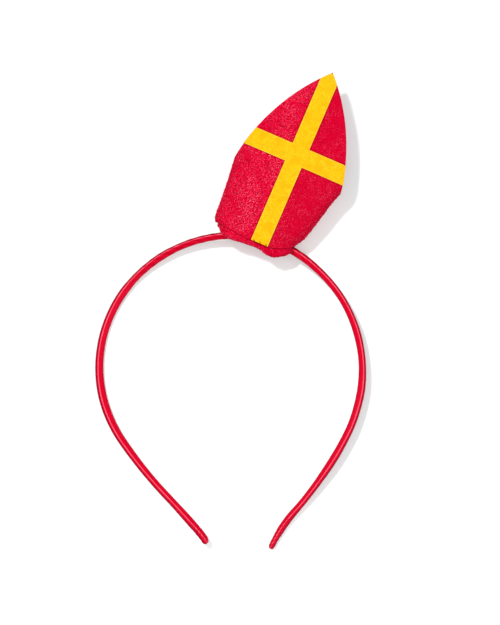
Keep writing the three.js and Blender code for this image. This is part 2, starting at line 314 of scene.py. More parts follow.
@dataclass(frozen=True)
class FeltFinish:
    """Needle punched felt: matted strands with a painted sheen over darker pits, painted shade in the
    bump's hollows, and a painted line round the cross.

    Attributes:
        sheen_share: how far the strands go towards the highlight colour, left and right: a painted sheen
            of fibres that catch the light.
        mottle: how far the pits go towards the deep colour, left and right: painted shade in the bump's
            hollows, mixed with the felt's uneven tone.
        cloudy: how far the soft patches go towards the deep colour.
        side_shade: how far all of it goes towards the deep colour at least, left and right: painted shade
            on the side turned from the lamp.
        strand: spacing of the matted strands.
        pit: size of the pits between them.
        fleck: size of the brightest fibre ends, painted glints.
        cloud: size of the soft patches.
        painted_edge_line: how wide the line along the cross's edge is; if positive it lies outside the
            cross as painted shade, if negative inside it as a painted highlight.
        sheen_places: places across between which sheen_share goes over from left to right.
        mottle_places: the same for mottle.
        side_shade_places: the same for dull.
        ridge_wide: half width of a strand, in the noise that it follows.
        tuft_range: noise between which strands appear.
        fleck_range: noise between which the brightest fibre ends appear.
        patch_range: noise between which strands go from sparse to full.
        pit_range: noise between which the pits fade out.
        cloud_range: noise between which the soft patches fade out.
        dent: size of the patches that break up the painted shade along the cross's edge.
    """

    name: str
    place: LocalFrame
    base: tuple[float, float, float]
    deep: tuple[float, float, float]
    pale: tuple[float, float, float]
    sheen_share: tuple[float, float]
    mottle: tuple[float, float]
    cloudy: float
    side_shade: tuple[float, float] = (0.0, 0.0)
    strand: float = 0.85 * MM
    pit: float = 0.5 * MM
    fleck: float = 0.4 * MM
    cloud: float = 8 * MM
    painted_edge_line: float = 0.0
    roughness: float = 0.95
    specular: float = 0.01
    bump: float = 0.5
    sheen_places: tuple[float, float] = (-12 * MM, 9 * MM)
    mottle_places: tuple[float, float] = (-6 * MM, 12 * MM)
    side_shade_places: tuple[float, float] = (-8 * MM, 8 * MM)
    ridge_wide: float = 0.036
    tuft_range: tuple[float, float] = (0.55, 0.64)
    fleck_range: tuple[float, float] = (0.66, 0.72)
    patch_range: tuple[float, float] = (0.38, 0.58)
    pit_range: tuple[float, float] = (0.38, 0.56)
    cloud_range: tuple[float, float] = (0.38, 0.55)
    dent: float = 0.9 * MM

    def painted_edge_mask(self, s: Shader, across: object, up: object) -> object:
        """Mask of the painted line along the cross's edge: just outside it for painted shade, just inside
        it for a painted highlight.

        Args:
            s: the material that it is part of.
            across: socket of the place across the mitre.
            up: socket of the place up the mitre.

        Returns:
            Socket of the line's strength, 1 at the edge.
        """
        cross = self.place.cross
        middle = (cross.arm_low + cross.arm_high) / 2
        bar = s.math("SUBTRACT", s.math("ABSOLUTE", across, 0.0), cross.bar_half)
        arm = s.math("ABSOLUTE", s.math("SUBTRACT", up, middle), 0.0)
        arm = s.math("SUBTRACT", arm, cross.arm_high - middle)
        away = s.math("MINIMUM", bar, arm)
        if self.painted_edge_line < 0:
            away = s.math("MULTIPLY", away, -1.0)
        line = s.spread(away, 0.3 * abs(self.painted_edge_line), abs(self.painted_edge_line), 1.0, 0.0)
        return s.math("MULTIPLY", line, s.spread(up, 0.0, 0.8 * MM, 0.0, 1.0))

    def material(self) -> bpy.types.Material:
        """Builds the material.

        Returns:
            The new material.
        """
        s = Shader(self.name)
        place = s.coordinates()
        local = s.mapped(place, tuple(self.place.origin), (0.0, 0.0, self.place.lean), (1, 1, 1))
        split = s.add("ShaderNodeSeparateXYZ")
        s.join(local, split.inputs["Vector"])
        across, up = split.outputs["X"], split.outputs["Y"]
        pits = s.noise(place, 1 / self.pit, 1.0, 0.5, 0.4)
        clouds = s.noise(place, 1 / self.cloud, 3.0, 0.55, 0.6)
        curl = s.noise(place, 1 / self.strand, 2.0, 0.5, 1.2)
        ridge = s.math("ABSOLUTE", s.math("SUBTRACT", curl, 0.5), 0.0)
        ridge = s.spread(ridge, 0.0, self.ridge_wide, 1.0, 0.0)
        tufts = s.spread(s.noise(place, 1.4 / self.strand, 1.0, 0.5, 0.8), *self.tuft_range, 0.0, 1.0)
        flecks = s.spread(s.noise(place, 1 / self.fleck, 0.0, 0.5, 0.0), *self.fleck_range, 0.0, 1.0)
        strands = s.math("MAXIMUM", s.math("MULTIPLY", ridge, tufts), flecks)
        # The painted sheen on the strands thins out at the left edge, towards the tip and at the foot
        side = s.math(
            "MULTIPLY",
            s.spread(across, *self.sheen_places, *self.sheen_share),
            s.spread(across, -21 * MM, -14 * MM, 0.45, 1.0),
        )
        high = s.math(
            "MULTIPLY",
            s.spread(up, 45 * MM, 62 * MM, 1.0, 0.7),
            s.spread(up, -1 * MM, 4 * MM, 0.4, 1.0),
        )
        patch = s.spread(clouds, *self.patch_range, 0.3, 1.0)
        sheen_mask = s.math("MULTIPLY", strands, s.math("MULTIPLY", s.math("MULTIPLY", side, high), patch))
        # Painted shade: the pits, the bump's hollows, go towards the deep colour; soft patches add uneven
        # tone
        shade = s.math(
            "MAXIMUM",
            s.math(
                "MULTIPLY",
                s.spread(pits, *self.pit_range, 1.0, 0.0),
                s.spread(across, *self.mottle_places, *self.mottle),
            ),
            s.spread(clouds, *self.cloud_range, self.cloudy, 0.0),
        )
        # Painted shade on the right side, which is turned from the lamp
        shade = s.math("MAXIMUM", shade, s.spread(across, *self.side_shade_places, *self.side_shade))
        colour = s.blend(shade, self.base, self.deep)
        # Painted sheen: strands and fibre ends that catch the light go towards the highlight colour
        colour = s.blend(sheen_mask, colour, self.pale)
        # Painted shade just outside the cross's edge, broken up in patches
        if self.painted_edge_line > 0:
            line_breaks = s.spread(s.noise(place, 1 / self.dent, 1.0, 0.5, 0.3), 0.38, 0.55, 0.45, 0.9)
            colour = s.blend(s.math("MULTIPLY", self.painted_edge_mask(s, across, up), line_breaks), colour, self.deep)
        # Painted highlight just inside the cross's edge
        if self.painted_edge_line < 0:
            colour = s.blend(s.math("MULTIPLY", self.painted_edge_mask(s, across, up), 0.4), colour, self.pale)
        s.join(colour, s.principled.inputs["Base Color"])
        height = s.math("ADD", s.math("MULTIPLY", pits, 0.8), s.math("MULTIPLY", ridge, 0.25))
        s.join(s.bump(height, self.bump, 0.35 * MM), s.principled.inputs["Normal"])
        s.set(Roughness=self.roughness, Specular_IOR_Level=self.specular)
        return s.material


@dataclass(frozen=True)
class SatinFinish:
    """Satin ribbon: long bright floats, fine cross ribs, a painted highlight along the fold line, and
    painted shade on its sides, between its ribs and in its creases.

    Attributes:
        rib: spacing of the cross ribs.
        rib_length: how far a rib goes round the section before it breaks off.
        rib_slant: how far the ribs lean, in radians.
        float_length: length of the bright floats, along the band.
        float_wide: their width.
        cloud: size of the patches over which the painted highlight on the fold line is weaker.
        edge_shade_from: where the painted shade on the outer side starts, as a share of half the section.
        edge_shade_to: where it is darkest.
    """

    name: str
    base: tuple[float, float, float]
    deep: tuple[float, float, float]
    pale: tuple[float, float, float]
    roughness: float = 0.3
    specular: float = 0.16
    tint: tuple[float, float, float] = (1.0, 0.2, 0.35)
    rib: float = 0.42 * MM
    rib_length: float = 2.6 * MM
    rib_slant: float = 0.35
    float_length: float = 2.4 * MM
    float_wide: float = 0.3 * MM
    cloud: float = 5 * MM
    edge_shade_from: float = 0.56
    edge_shade_to: float = 0.7

    def material(self) -> bpy.types.Material:
        """Builds the material. The UV map has metres along the band and metres round its section.

        Returns:
            The new material.
        """
        s = Shader(self.name)
        uv = s.coordinates("UV")
        stretch = s.mapped(uv, (0, 0, 0), (0, 0, 0), (self.float_length, self.float_wide, 1))
        floats = s.noise(stretch, 1.0, 2.0, 0.5, 0.3)
        slant = s.mapped(uv, (0, 0, 0), (0, 0, self.rib_slant), (self.rib, self.rib_length, 1))
        ribs = s.noise(slant, 1.0, 1.0, 0.5, 0.2)
        clouds = s.noise(s.coordinates(), 1 / self.cloud, 2.0, 0.5, 0.4)
        across = s.add("ShaderNodeAttribute", attribute_name="across").outputs["Fac"]
        fold = s.add("ShaderNodeAttribute", attribute_name="fold").outputs["Fac"]
        crease = s.add("ShaderNodeAttribute", attribute_name="crease").outputs["Fac"]
        # Painted shade on the outer and inner sides, between the ribs and in the creases
        outer = s.spread(across, self.edge_shade_from, self.edge_shade_to, 0.0, 1.0)
        inner = s.spread(across, -0.95, -0.6, 0.6, 0.0)
        edge = s.math("MAXIMUM", outer, inner)
        shade = s.math("MAXIMUM", s.spread(ribs, 0.35, 0.62, 0.3, 0.0), crease)
        shade = s.math("MAXIMUM", shade, edge)
        colour = s.blend(shade, self.base, self.deep)
        # Painted highlight along the fold line, weaker in patches, off the floats and in the creases
        gloss = s.math("MULTIPLY", fold, s.spread(clouds, 0.34, 0.58, 0.7, 1.0))
        gloss = s.math("MULTIPLY", gloss, s.spread(floats, 0.35, 0.6, 0.75, 1.0))
        gloss = s.math("MULTIPLY", gloss, s.spread(crease, 0.0, 0.8, 1.0, 0.25))
        colour = s.blend(gloss, colour, self.pale)
        s.join(colour, s.principled.inputs["Base Color"])
        rough = s.spread(floats, 0.3, 0.7, self.roughness - 0.06, self.roughness + 0.1)
        s.join(rough, s.principled.inputs["Roughness"])
        low = s.bump(ribs, 0.22, 0.1 * MM)
        s.join(s.bump(floats, 0.18, 0.05 * MM, low), s.principled.inputs["Normal"])
        s.set(Specular_IOR_Level=self.specular, Specular_Tint=(*self.tint, 1.0))
        return s.material


@dataclass(frozen=True)
class ThreadFinish:
    """Sewing thread with a fine twist."""

    name: str
    base: tuple[float, float, float]
    deep: tuple[float, float, float]
    twist: float = 0.3 * MM

    def material(self) -> bpy.types.Material:
        """Builds the material.

        Returns:
            The new material.
        """
        s = Shader(self.name)
        place = s.coordinates()
        strands = s.noise(place, 1 / self.twist, 1.0, 0.5, 0.6)
        colour = s.blend(s.spread(strands, 0.35, 0.65, 1.0, 0.0), self.base, self.deep)
        s.join(colour, s.principled.inputs["Base Color"])
        s.join(s.bump(strands, 0.3, 0.08 * MM), s.principled.inputs["Normal"])
        s.set(Roughness=0.7, Specular_IOR_Level=0.08)
        return s.material


@dataclass(frozen=True)
class FloorFinish:
    """White paper that glows a little by itself, a painted light, so that shadows on it stay faint.

    Attributes:
        white: its colour, a little cold against the red light that the felt throws on it.
        glow: its painted glow under the mitre, and the stronger one under the band's ends, which fades
            their shadows.
        fade: places along the object between which the one goes over into the other.
    """

    white: tuple[float, float, float] = (0.66, 0.71, 0.71)
    glow: tuple[float, float] = (0.275, 0.38)
    fade: tuple[float, float] = (-90 * MM, -108 * MM)

    def material(self) -> bpy.types.Material:
        """Builds the material.

        Returns:
            The new material.
        """
        s = Shader("white_paper")
        split = s.add("ShaderNodeSeparateXYZ")
        s.join(s.coordinates(), split.inputs["Vector"])
        near, far = self.fade
        # The painted glow grows towards the band's ends, so that their shadows fade
        glow = s.spread(split.outputs["Y"], far, near, self.glow[1], self.glow[0])
        s.join(glow, s.principled.inputs["Emission Strength"])
        s.set(
            Base_Color=(*self.white, 1.0),
            Roughness=0.9,
            Specular_IOR_Level=0.0,
            Emission_Color=(1.0, 1.0, 1.0, 1.0),
        )
        return s.material


# Mesh helpers


def mesh_of(name: str, points: np.ndarray, faces: list) -> bpy.types.Mesh:
    """A mesh from points and faces, shaded smooth.

    Args:
        name: the mesh's name.
        points: places, one to a row, in metres.
        faces: vertex numbers of each face, seen anticlockwise from outside.

    Returns:
        The new mesh.
    """
    mesh = bpy.data.meshes.new(name)
    mesh.from_pydata(points.tolist(), [], faces)
    mesh.polygons.foreach_set("use_smooth", np.full(len(mesh.polygons), True))
    mesh.update()
    return mesh


def object_of(name: str, mesh: bpy.types.Mesh, material: bpy.types.Material) -> bpy.types.Object:
    """An object for a mesh, in the scene, with one material.

    Args:
        name: the object's name.
        mesh: its mesh.
        material: its material.

    Returns:
        The new object.
    """
    obj = bpy.data.objects.new(name, mesh)
    bpy.context.scene.collection.objects.link(obj)
    mesh.materials.clear()
    mesh.materials.append(material)
    return obj


def settle(obj: bpy.types.Object) -> bpy.types.Object:
    """Turns what an object's modifiers make into its plain mesh, and removes them.

    Args:
        obj: the object.

    Returns:
        The same object.
    """
    mesh = bpy.data.meshes.new_from_object(
        obj.evaluated_get(bpy.context.evaluated_depsgraph_get())
    )
    obj.modifiers.clear()
    obj.data = mesh
    return obj


def wrap_faces(rows: int, columns: int) -> list:
    """Quads over a grid whose columns close on themselves.

    Args:
        rows: how many rows of points it has.
        columns: how many points a row has.

    Returns:
        The vertex numbers of each face.
    """
    faces = []
    for i in range(rows - 1):
        for j in range(columns):
            a, b = i * columns + j, i * columns + (j + 1) % columns
            faces.append((a, b, b + columns, a + columns))
    return faces


def mark(mesh: bpy.types.Mesh, name: str, values: np.ndarray) -> None:
    """Stores a number on each vertex."""
    mesh.attributes.new(name, "FLOAT", "POINT").data.foreach_set("value", values.astype(np.float32))


def lay_down(mesh: bpy.types.Mesh) -> None:
    """Presses whatever would sink into the floor flat against it.

    Args:
        mesh: the mesh, in the object's frame.
    """
    at = np.zeros(len(mesh.vertices) * 3, np.float32)
    mesh.vertices.foreach_get("co", at)
    at[2::3] = np.maximum(at[2::3], 0.0)
    mesh.vertices.foreach_set("co", at)
    mesh.update()


def dress(obj: bpy.types.Object, slot: Slot, *nodes: str) -> bpy.types.Object:
    """Makes a piece ride on the object, and hides the solids that it stands for.

    Args:
        obj: the piece.
        slot: its material slot; not used.
        nodes: nodes of the solids that it stands for, if any.

    Returns:
        The same piece.
    """
    lay_down(obj.data)
    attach(obj, "root")
    if nodes:
        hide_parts(*nodes)
    lowest = min(v.co.z for v in obj.data.vertices) / MM
    LOG.info("%s: %d vertices, lowest at %.2f mm", obj.name, len(obj.data.vertices), lowest)
    return obj


# Geometry node trees


class NodeTree:
    """A geometry node tree with named inputs."""

    def __init__(self, name: str) -> None:
        """Starts a tree with a geometry input and output.

        Args:
            name: the tree's name.
        """
        self.tree = bpy.data.node_groups.new(name, "GeometryNodeTree")
        self.tree.interface.new_socket("Geometry", in_out="INPUT", socket_type="NodeSocketGeometry")
        self.tree.interface.new_socket("Geometry", in_out="OUTPUT", socket_type="NodeSocketGeometry")
        self.entry = self.tree.nodes.new("NodeGroupInput")
        self.exit = self.tree.nodes.new("NodeGroupOutput")
        self.values: dict[str, object] = {}

    def size(self, name: str, value: object, kind: str = "NodeSocketFloat") -> object:
        """Adds a named input.

        Args:
            name: the input's name.
            value: its value.
            kind: type of its socket.

        Returns:
            Its socket inside the tree.
        """
        socket = self.tree.interface.new_socket(name, in_out="INPUT", socket_type=kind)
        self.values[socket.identifier] = value
        return self.entry.outputs[name]

    def add(self, kind: str, inputs: dict | None = None, **settings: object) -> bpy.types.Node:
        """Adds a node.

        Args:
            kind: the node's type.
            inputs: a socket or a constant for each input, by name or number.
            settings: properties of the node.

        Returns:
            The new node.
        """
        node = self.tree.nodes.new(kind)
        for name, value in settings.items():
            setattr(node, name, value)
        for name, value in (inputs or {}).items():
            if isinstance(name, str):
                target = next(s for s in node.inputs if s.name == name and s.enabled)
            else:
                target = node.inputs[name]
            if isinstance(value, bpy.types.NodeSocket):
                self.tree.links.new(value, target)
            else:
                target.default_value = value
        return node

    def out(self, node: bpy.types.Node, name: str | int = 0) -> object:
        """An output of a node.

        Args:
            node: the node.
            name: the output's name among those in use, or its number.

        Returns:
            The output's socket.
        """
        if isinstance(name, int):
            return node.outputs[name]
        return next(s for s in node.outputs if s.name == name and s.enabled)

    def end(self, geometry: object, material: bpy.types.Material) -> None:
        """Ends the tree in Realize Instances and Set Material.

        Args:
            geometry: socket of what the tree made.
            material: the material that it gets.
        """
        real = self.add("GeometryNodeRealizeInstances", {"Geometry": geometry})
        smooth = self.add("GeometryNodeSetShadeSmooth", {"Geometry": self.out(real)})
        done = self.add(
            "GeometryNodeSetMaterial", {"Geometry": self.out(smooth), "Material": material}
        )
        self.tree.links.new(self.out(done), self.exit.inputs["Geometry"])

    def run(self, obj: bpy.types.Object) -> bpy.types.Object:
        """Runs the tree on an object and keeps the result as its plain mesh.

        Args:
            obj: the object.

        Returns:
            The same object.
        """
        modifier = obj.modifiers.new(self.tree.name, "NODES")
        modifier.node_group = self.tree
        for identifier, value in self.values.items():
            modifier[identifier] = value
        return settle(obj)


@dataclass(frozen=True)
class Fuzz:
    """Matted felt strands that lie a little off a surface, in two curled shapes."""

    material: bpy.types.Material
    density: float = 0.55e6
    length: float = 1.0 * MM
    thick: float = 0.1 * MM
    rise: float = 0.22 * MM
    tilt: float = 0.12
    seed: int = 7

    def strand(self, tree: NodeTree, length: object, rise: object, thick: object, bend: float) -> object:
        """Builds one strand shape.

        Args:
            tree: the node tree.
            length: socket of the strand's length.
            rise: socket of its height over the surface.
            thick: socket of its radius.
            bend: 1 for a hook, -1 for an S.

        Returns:
            The shape as an instance.
        """

        def point(along: float, aside: float, up: float) -> object:
            """A point of the strand's line.

            Args:
                along: its place along the strand, as a share of the length.
                aside: how far it lies to the side, as a share of the length.
                up: its height, as a share of the rise.

            Returns:
                Socket of the point.
            """
            parts = [
                tree.out(tree.add("ShaderNodeMath", {0: size, 1: share}, operation="MULTIPLY"))
                for size, share in ((length, along), (length, aside), (rise, up))
            ]
            return tree.out(tree.add("ShaderNodeCombineXYZ", dict(zip("XYZ", parts))))

        arc = tree.add(
            "GeometryNodeCurvePrimitiveBezierSegment",
            {
                "Resolution": 5,
                "Start": point(-0.5, 0.0, -0.2),
                "Start Handle": point(-0.3, 0.42, 1.0),
                "End Handle": point(0.3, 0.42 * bend, 1.4),
                "End": point(0.42, 0.0, 0.5),
            },
        )
        ring = tree.add("GeometryNodeCurvePrimitiveCircle", {"Resolution": 3, "Radius": thick})
        fibre = tree.add(
            "GeometryNodeCurveToMesh",
            {"Curve": tree.out(arc), "Profile Curve": tree.out(ring), "Fill Caps": True},
        )
        return tree.out(tree.add("GeometryNodeGeometryToInstance", {"Geometry": tree.out(fibre)}))

    def grow(self, name: str, ground: bpy.types.Mesh) -> bpy.types.Object:
        """Grows strands over a surface.

        Args:
            name: the new piece's name.
            ground: the surface; a density attribute named nap scales how many grow.

        Returns:
            The piece, a plain mesh.
        """
        tree = NodeTree("felt_strands")
        seed = tree.size("Seed", self.seed, "NodeSocketInt")
        density = tree.size("Density", self.density)
        length = tree.size("Length", self.length)
        rise = tree.size("Rise", self.rise)
        thick = tree.size("Thickness", self.thick)
        tilt = tree.size("Tilt", self.tilt)
        nap = tree.add("GeometryNodeInputNamedAttribute", {"Name": "nap"}, data_type="FLOAT")
        many = tree.add(
            "ShaderNodeMath", {0: density, 1: tree.out(nap, "Attribute")}, operation="MULTIPLY"
        )
        dots = tree.add(
            "GeometryNodeDistributePointsOnFaces",
            {"Mesh": tree.entry.outputs["Geometry"], "Density": tree.out(many), "Seed": seed},
        )
        shapes = tree.add("GeometryNodeJoinGeometry")
        for bend in (1.0, -1.0):
            tree.tree.links.new(self.strand(tree, length, rise, thick, bend), shapes.inputs[0])
        up = tree.add(
            "FunctionNodeAlignRotationToVector", {"Vector": tree.out(dots, "Normal")}, axis="Z"
        )
        low = tree.add("ShaderNodeMath", {0: tilt, 1: -1.0}, operation="MULTIPLY")
        lows = tree.add("ShaderNodeCombineXYZ", {0: tree.out(low), 1: tree.out(low), 2: 0.0})
        highs = tree.add("ShaderNodeCombineXYZ", {0: tilt, 1: tilt, 2: 2 * math.pi})
        turn = tree.add(
            "FunctionNodeRandomValue",
            {"Min": tree.out(lows), "Max": tree.out(highs), "Seed": seed},
            data_type="FLOAT_VECTOR",
        )
        turned = tree.add(
            "FunctionNodeRotateRotation",
            {"Rotation": tree.out(up), "Rotate By": tree.out(turn, "Value")},
            rotation_space="LOCAL",
        )
        grown = tree.add(
            "FunctionNodeRandomValue", {"Min": 0.5, "Max": 1.25, "Seed": seed}, data_type="FLOAT"
        )
        which = tree.add(
            "FunctionNodeRandomValue", {"Min": 0, "Max": 1, "Seed": seed}, data_type="INT"
        )
        placed = tree.add(
            "GeometryNodeInstanceOnPoints",
            {
                "Points": tree.out(dots, "Points"),
                "Instance": tree.out(shapes),
                "Pick Instance": True,
                "Instance Index": tree.out(which, "Value"),
                "Rotation": tree.out(turned),
                "Scale": tree.out(grown, "Value"),
            },
        )
        tree.end(tree.out(placed), self.material)
        return tree.run(object_of(name, ground.copy(), self.material))


@dataclass(frozen=True)
class WhipStitch:
    """Short stitches of one thread, set along a guide line."""

    material: bpy.types.Material
    spacing: float = 2.1 * MM
    length: float = 1.3 * MM
    thick: float = 0.15 * MM
    rise: float = 0.3 * MM
    lean: float = 0.5
    uneven: float = 0.5
    smallest: float = 0.35
    seed: int = 3

    def sew(self, name: str, guide: np.ndarray, facing: np.ndarray) -> bpy.types.Object:
        """Sews along a guide.

        Args:
            name: the new piece's name.
            guide: points of the line, in order.
            facing: the direction at each point that the stitch stands up along.

        Returns:
            The piece, a plain mesh.
        """
        mesh = bpy.data.meshes.new(name)
        mesh.from_pydata(guide.tolist(), [(k, k + 1) for k in range(len(guide) - 1)], [])
        mesh.attributes.new("facing", "FLOAT_VECTOR", "POINT").data.foreach_set(
            "vector", facing.astype(np.float32).ravel()
        )
        tree = NodeTree("whip_stitch")
        spacing = tree.size("Spacing", self.spacing)
        length = tree.size("Length", self.length)
        thick = tree.size("Thickness", self.thick)
        rise = tree.size("Rise", self.rise)
        lean = tree.size("Lean", self.lean)
        uneven = tree.size("Uneven", self.uneven)
        seed = tree.size("Seed", self.seed, "NodeSocketInt")
        line = tree.add("GeometryNodeMeshToCurve", {"Mesh": tree.entry.outputs["Geometry"]})
        even = tree.add(
            "GeometryNodeResampleCurve", {"Curve": tree.out(line), "Length": spacing}, mode="LENGTH"
        )
        tangent = tree.add("GeometryNodeInputTangent")
        kept = tree.add(
            "GeometryNodeStoreNamedAttribute",
            {"Geometry": tree.out(even), "Name": "along", "Value": tree.out(tangent)},
            data_type="FLOAT_VECTOR",
            domain="POINT",
        )
        half = tree.add("ShaderNodeMath", {0: length, 1: 0.5}, operation="MULTIPLY")
        less = tree.add("ShaderNodeMath", {0: tree.out(half), 1: -1.0}, operation="MULTIPLY")
        sink = tree.add("ShaderNodeMath", {0: rise, 1: -0.8}, operation="MULTIPLY")
        high = tree.add("ShaderNodeMath", {0: rise, 1: 2.0}, operation="MULTIPLY")
        start = tree.add("ShaderNodeCombineXYZ", {"Y": tree.out(less), "Z": tree.out(sink)})
        middle = tree.add("ShaderNodeCombineXYZ", {"Z": tree.out(high)})
        finish = tree.add("ShaderNodeCombineXYZ", {"Y": tree.out(half), "Z": tree.out(sink)})
        arc = tree.add(
            "GeometryNodeCurveQuadraticBezier",
            {
                "Resolution": 8,
                "Start": tree.out(start),
                "Middle": tree.out(middle),
                "End": tree.out(finish),
            },
        )
        ring = tree.add("GeometryNodeCurvePrimitiveCircle", {"Resolution": 8, "Radius": thick})
        stitch = tree.add(
            "GeometryNodeCurveToMesh",
            {"Curve": tree.out(arc), "Profile Curve": tree.out(ring), "Fill Caps": True},
        )
        facing_in = tree.add(
            "GeometryNodeInputNamedAttribute", {"Name": "facing"}, data_type="FLOAT_VECTOR"
        )
        along_in = tree.add(
            "GeometryNodeInputNamedAttribute", {"Name": "along"}, data_type="FLOAT_VECTOR"
        )
        stand = tree.add(
            "FunctionNodeAxesToRotation",
            {
                "Primary Axis": tree.out(facing_in, "Attribute"),
                "Secondary Axis": tree.out(along_in, "Attribute"),
            },
            primary_axis="Z",
            secondary_axis="X",
        )
        low = tree.add("ShaderNodeMath", {0: lean, 1: uneven}, operation="SUBTRACT")
        top = tree.add("ShaderNodeMath", {0: lean, 1: uneven}, operation="ADD")
        angle = tree.add(
            "FunctionNodeRandomValue",
            {"Min": tree.out(low), "Max": tree.out(top), "Seed": seed},
            data_type="FLOAT",
        )
        smallest = tree.size("Smallest", self.smallest)
        grown = tree.add(
            "FunctionNodeRandomValue",
            {"Min": smallest, "Max": 1.15, "Seed": seed},
            data_type="FLOAT",
        )
        twist = tree.add("ShaderNodeCombineXYZ", {"Z": tree.out(angle, "Value")})
        turned = tree.add(
            "FunctionNodeRotateRotation",
            {"Rotation": tree.out(stand), "Rotate By": tree.out(twist)},
            rotation_space="LOCAL",
        )
        placed = tree.add(
            "GeometryNodeInstanceOnPoints",
            {
                "Points": tree.out(kept),
                "Instance": tree.out(stitch),
                "Rotation": tree.out(turned),
                "Scale": tree.out(grown, "Value"),
            },
        )
        tree.end(tree.out(placed), self.material)
        return tree.run(object_of(name, mesh, self.material))


# The band


@dataclass(frozen=True)
class Side:
    """One side of the band.

    Attributes:
        sign: -1 for the left side and 1 for the right one.
        arcs: length as a share of the side, and turn in degrees, of each arc from the apex.
        lifts: share of the side and lift, 1 where the band is level with the mitre's middle.
        widths: share of the side and share of the plain thickness.
        shifts: share of the side and how far the ribbon's middle is shifted outwards.
        highlight_line: share of the side and where the painted highlight along the ribbon's fold line
            runs, in half thicknesses.
        reach: how far the ribbon goes on past the stiff strip.
    """

    sign: int
    arcs: Rows
    lifts: Rows
    widths: Rows
    shifts: Rows
    highlight_line: Rows
    reach: float


@dataclass(frozen=True)
class Headband:
    """The band: a stiff strip under a satin ribbon, with the ribbon's end folded over each tip."""

    material: bpy.types.Material
    apex: tuple[float, float] = (1.7805 * MM, 39.0511 * MM)
    side_length: float = 207.4 * MM
    thick: float = 3.4 * MM
    wide: float = 4.0 * MM
    tip_round: float = 2.6 * MM
    level: float = 11.3 * MM
    step: float = 0.5 * MM
    around: int = 72
    crease: float = 5.5 * MM
    crease_turns: int = -5
    crease_deep: float = 0.1 * MM
    highlight_wide: float = 0.13
    end_fold: float = 7.5 * MM
    end_fold_thick: float = 0.16 * MM
    left: Side = Side(
        -1,
        arcs=((0.221, 38.0), (0.455, 83.2), (0.171, 9.4), (0.153, -3.5)),
        lifts=(
            (0, 1), (0.02, 0.95), (0.05, 0.8), (0.1, 0.6), (0.15, 0.42), (0.21, 0.23), (0.3, 0.04),
            (0.38, 0), (0.54, 0), (0.66, 0.12), (1, 0.6),
        ),
        widths=(
            (0, 1.05), (0.13, 1.04), (0.17, 1.12), (0.2, 1.1), (0.25, 1.09), (0.3, 1.22), (0.45, 1.2),
            (0.57, 1.27), (0.65, 1.23), (0.73, 1.16), (0.8, 1.11), (0.87, 1.11), (0.935, 1.22),
            (0.965, 1.12), (0.985, 1.04), (1, 1.05),
        ),
        shifts=(
            (0, 0.12 * MM), (0.15, 0.12 * MM), (0.25, 0.05 * MM), (0.55, 0.19 * MM),
            (0.62, 0.11 * MM), (0.965, -0.05 * MM), (0.985, 0.15 * MM), (1, 0.6 * MM),
        ),
        highlight_line=(
            (0, 0.45), (0.08, 0.52), (0.145, 0.55), (0.24, 0.47), (0.39, 0.32), (0.53, 0.3),
            (0.675, 0.24), (0.82, 0.07), (0.94, 0.0), (1, -0.1),
        ),
        reach=-0.1 * MM,
    )
    right: Side = Side(
        1,
        arcs=((0.157, 31.4), (0.511, 88.1), (0.229, 14.5), (0.103, -15.7)),
        lifts=(
            (0, 1), (0.17, 0.99), (0.4, 0.85), (0.62, 0.84),
            (0.74, 0.69), (0.86, 0.33), (0.975, 0), (1, 0),
        ),
        widths=(
            (0, 1.1), (0.17, 1.15), (0.25, 1.08), (0.35, 1.06), (0.42, 1.13), (0.48, 1.09),
            (0.56, 1.2), (0.65, 1.16), (0.75, 1.2), (0.82, 1.05), (0.87, 1.02), (0.92, 1.13),
            (0.955, 1.12), (0.97, 0.92), (0.985, 0.84), (1, 0.84),
        ),
        shifts=(
            (0, 0.08 * MM), (0.18, 0.12 * MM), (0.25, -0.12 * MM), (0.33, 0.0),
            (0.55, 0.0), (0.6, -0.14 * MM), (0.67, 0.06 * MM), (0.72, 0.13 * MM),
            (0.8, -0.02 * MM), (1, 0.02 * MM),
        ),
        highlight_line=(
            (0, 0.3), (0.22, 0.3), (0.34, 0.35), (0.46, 0.34), (0.58, 0.3),
            (0.72, 0.14), (0.87, 0.04), (0.955, -0.18), (1, -0.2),
        ),
        reach=1.1 * MM,
    )
    # Section of the wound strip, out of the band and up, as shares of half its size
    profile: Rows = (
        (1.0, 0.0), (0.985, 0.42), (0.9, 0.7), (0.74, 0.86), (0.6, 0.93), (0.5, 0.965),
        (0.4, 0.99), (0.25, 1.0), (0.05, 0.97), (-0.2, 0.91), (-0.5, 0.81), (-0.78, 0.64),
        (-0.95, 0.38), (-1.0, 0.0), (-0.95, -0.4), (-0.78, -0.72), (-0.45, -0.93), (0.0, -1.0),
        (0.45, -0.95), (0.78, -0.76), (0.95, -0.42),
    )

    def place(self, along: float) -> tuple[np.ndarray, np.ndarray]:
        """Place of the centre line.

        Args:
            along: distance from the apex, negative on the left side.

        Returns:
            The point, and the level direction out of the band there.
        """
        side = self.left if along < 0 else self.right
        x, y, heading, left = 0.0, 0.0, 0.0, abs(along)
        for k, (share, turn) in enumerate(side.arcs):
            whole = share * self.side_length
            part = left if k == len(side.arcs) - 1 else min(left, whole)
            bend = math.radians(turn) / whole
            x += (math.sin(heading + bend * part) - math.sin(heading)) / bend
            y += (math.cos(heading + bend * part) - math.cos(heading)) / bend
            heading += bend * part
            left -= part
            if left <= 0:
                break
        lift = between(side.lifts, 1, abs(along) / self.side_length)
        z = self.wide / 2 + lift * (self.level - self.wide / 2)
        out = np.array([side.sign * math.sin(heading), math.cos(heading), 0.0])
        return np.array([self.apex[0] + side.sign * x, self.apex[1] + y, z]), out

    def highlight_at(self, along: float) -> float:
        """Where the painted highlight along the fold line runs at a place, in half thicknesses outwards.
        """
        side = self.left if along < 0 else self.right
        return between(side.highlight_line, 1, abs(along) / self.side_length)

